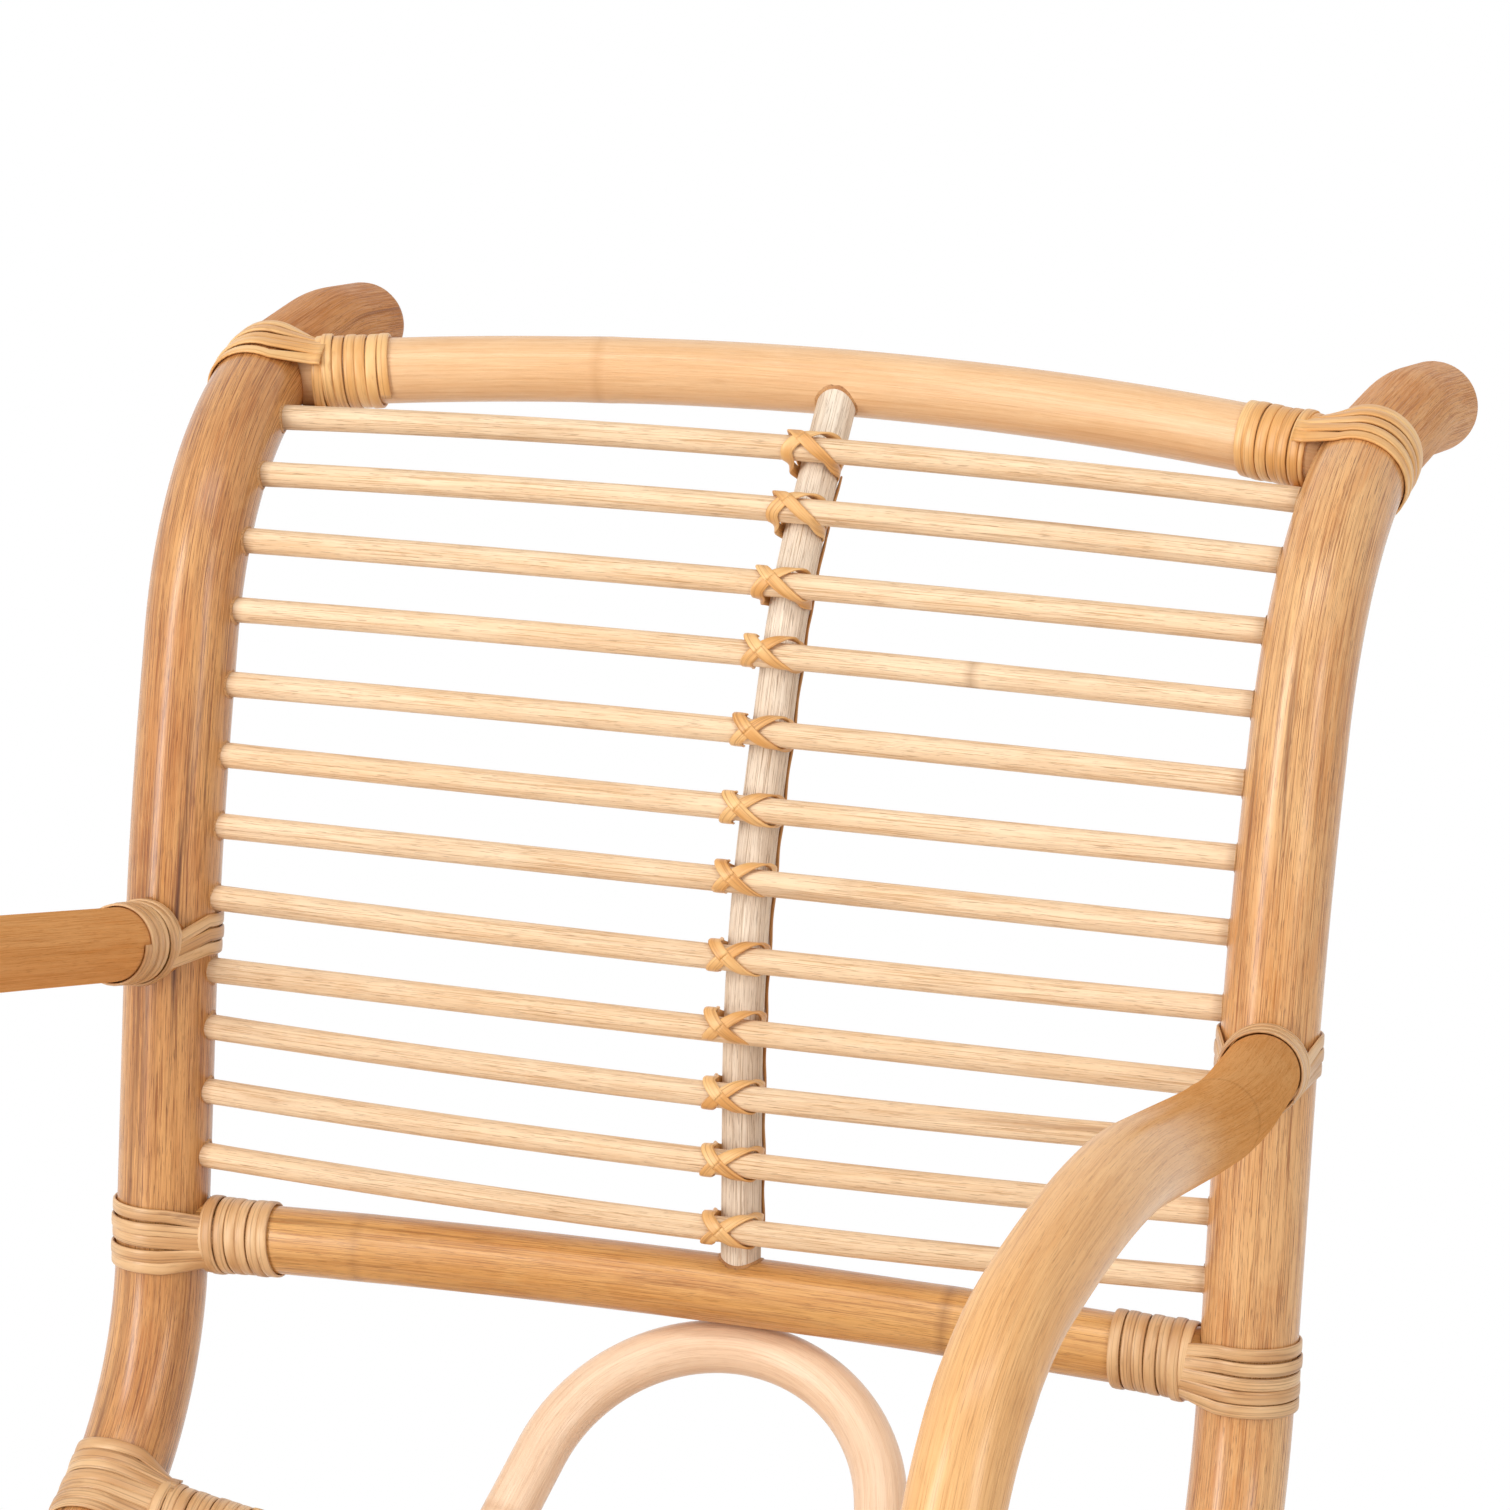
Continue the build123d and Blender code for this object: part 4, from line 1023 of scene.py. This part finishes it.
# a strip runs from lashing to lashing along the back right of the spindle
for upper, lower in zip(back_slats, back_slats[1:]):
    points, normals = [], []
    for step in range(17):
        share = step / 16
        crossing = upper.crossing.lerp(lower.crossing, share)
        forward = upper.forward.lerp(lower.forward, share)
        turn = math.radians(20 + 26 * math.sin(math.pi * share))
        outward = ACROSS * math.cos(turn) - forward * math.sin(turn)
        points.append(crossing - forward * SPINDLE_GAP + outward * (SPINDLE + 0.9))
        normals.append(outward)
    lashings.strip(points, normals, RUN_WIDTH, LASH_THICKNESS, mark=0.5)
lashings.finish("spindle_wraps", golden, "spindle_lashings")

lashings = Bundle()
seat_up = Vector((0, SEAT_SLOPE, 1)).normalized()
for anchor, _ in seat_slats:
    for sign in (1, -1):
        centre = Vector((HOOP_X + sign * TURN_SPREAD, anchor.y, anchor.z))
        lashed(lashings, centre, seat_up, HOOP)
lashings.finish("seat_wraps", golden, "seat_lashings")


# ============================================================ rims of the drilled holes
RIM_WIDTH = 0.9
RIM_RUN, SPINDLE_RIM_RUN = 60, 40  # from the place inside where a rim is drawn to its hole
HOST_SHRINK, RAIL_SHRINK = 0.25, 0.15  # how far a cane's surface lies inside its full radius


def rim(bundle, centre, direction, host, host_radius, radius, rough, seed):
    """A torn ring where a cane enters a hole drilled in its host."""
    chance = random.Random(seed)
    u = direction.orthogonal().normalized()
    v = direction.cross(u).normalized()
    first = len(bundle.vertices)
    steps = 36
    for step in range(steps):
        angle = 2 * math.pi * step / steps
        out = u * math.cos(angle) + v * math.sin(angle)
        outer = radius + RIM_WIDTH * (1 + rough * chance.uniform(-1, 1))
        for size, lift in ((radius - 0.5, 0.3), (radius + RIM_WIDTH * 0.4, 0.45), (outer, 0.12)):
            bundle.vertices.append(slid(centre + out * size, direction, host, host_radius + lift))
            bundle.cane.append(Vector((size * math.cos(angle), size * math.sin(angle), angle * 3)))
    for step in range(steps):
        for k in range(2):
            a = first + step * 3 + k
            b = first + (step + 1) % steps * 3 + k
            bundle.faces.append((a, a + 1, b + 1, b))


def pole_rims(bundle, hole, axis_point, host, seed):
    """Rims of a slat's holes in the right pole and the left one."""
    for sign in (1, -1):
        inner = Vector((sign * (hole.x - RIM_RUN), hole.y, hole.z))
        pole_axis = on_side(sign, [axis_point, host])
        rim(bundle, inner, ACROSS * sign, pole_axis, POLE - HOST_SHRINK, SLAT + 0.1, 0.45,
            seed + sign)


rims = Bundle()
for number, slat in enumerate(back_slats):
    pole_rims(rims, slat.anchor, slat.anchor, slat.host, number * 2)
for number, (anchor, host) in enumerate(seat_slats):
    pole_rims(rims, anchor, anchor + Vector((0, 0, SEAT_DROP)), host, 100 + number * 2)
for end, inner, crown, rough, seed in (
    (-1, -4, upper_crown, 0.3, 300), (0, 3, lower_crown, 0.4, 301)
):
    outwards = (spindle[end] - spindle[inner]).normalized()
    rim(rims, spindle[end] - outwards * SPINDLE_RIM_RUN, outwards, (crown, ACROSS),
        RAIL - RAIL_SHRINK, SPINDLE + 0.1, rough, seed)
rims.finish("hole_rims", torn)


# ============================================================ stage
def pale_floor(tone):
    """A pale floor with the shadow near the chair, seen as white farther away."""
    s = Surface("pale_floor")
    place = s.add("ShaderNodeTexCoord").outputs["Object"]
    away = s.add("ShaderNodeVectorMath", {0: place, 1: (0.0, -0.15, 0.0)}, operation="DISTANCE")
    far = s.ramp(away.outputs["Value"], 0.5, 0.95)
    white = s.add("ShaderNodeEmission", {"Color": WHITE, "Strength": 1.0})
    share = s.math("MULTIPLY", far, s.seen())
    both = s.add("ShaderNodeMixShader", {0: share, 1: s.base.outputs[0], 2: white.outputs[0]})
    s.feed(s.nodes["Material Output"], {"Surface": both.outputs[0]})
    noise = s.add("ShaderNodeTexNoise", {"Scale": 3.0, "Detail": 3.0})
    shade = s.mix(noise.outputs["Fac"], colour(*tone), colour(*[v + 3 for v in tone]))
    s.feed(s.base, {"Base Color": shade, "Roughness": 0.9})
    return s.material


mesh = bpy.data.meshes.new("floor")
mesh.from_pydata([(-9, -9, 0), (9, -9, 0), (9, 9, 0), (-9, 9, 0)], [], [(0, 1, 2, 3)])
mesh.materials.append(pale_floor((244, 243, 241)))
floor = bpy.data.objects.new("floor", mesh)
bpy.context.scene.collection.objects.link(floor)

world = bpy.data.worlds.new("studio")
bpy.context.scene.world = world
s = Shader(world)
soft = s.nodes["Background"]
s.feed(soft, {"Color": (1.0, 0.99, 0.975, 1.0), "Strength": 0.5})
white = s.add("ShaderNodeBackground", {"Color": WHITE, "Strength": 1.0})
both = s.add("ShaderNodeMixShader", {0: s.seen(), 1: soft.outputs[0], 2: white.outputs[0]})
s.feed(s.nodes["World Output"], {"Surface": both.outputs[0]})


def lamp(name, place, target, size, power, shine=True):
    """A rectangular lamp, in metres and watts; without shine it isn't reflected."""
    data = bpy.data.lights.new(name, "AREA")
    data.shape = "RECTANGLE"
    data.size, data.size_y = size
    data.energy = power
    data.color = (1.0, 0.98, 0.95)
    item = bpy.data.objects.new(name, data)
    item.location = place
    item.rotation_euler = (Vector(target) - Vector(place)).to_track_quat("-Z", "Y").to_euler()
    item.visible_glossy = shine
    bpy.context.scene.collection.objects.link(item)


lamp("key_lamp", (-1.75, -2.3, 1.8), (0, 0.2, 0.6), (0.7, 2.8), 64)
lamp("top_lamp", (0.1, -0.8, 3.1), (0, 0.2, 0.7), (2.4, 0.6), 18)
lamp("side_lamp", (2.3, -1.6, 1.9), (0, 0.2, 0.6), (0.8, 1.6), 20)
lamp("back_lamp", (-0.6, 2.6, 2.6), (0, 0.2, 0.7), (2.0, 1.2), 8, False)

# the camera that was fitted to the photograph, whose sides are 1510 pixels long
SENSOR = 36.0
FOCAL_PIXELS, PHOTO_PIXELS = 5200, 1510
data = bpy.data.cameras.new("camera")
data.lens = SENSOR * FOCAL_PIXELS / PHOTO_PIXELS
data.sensor_width = SENSOR
camera = bpy.data.objects.new("camera", data)
camera.location = (0.6085, -1.7371, 1.3845)
camera.rotation_euler = Vector((-0.2791, 0.9054, -0.3197)).to_track_quat("-Z", "Y").to_euler()
bpy.context.scene.collection.objects.link(camera)
bpy.context.scene.camera = camera
bpy.context.scene.view_settings.view_transform = "Standard"
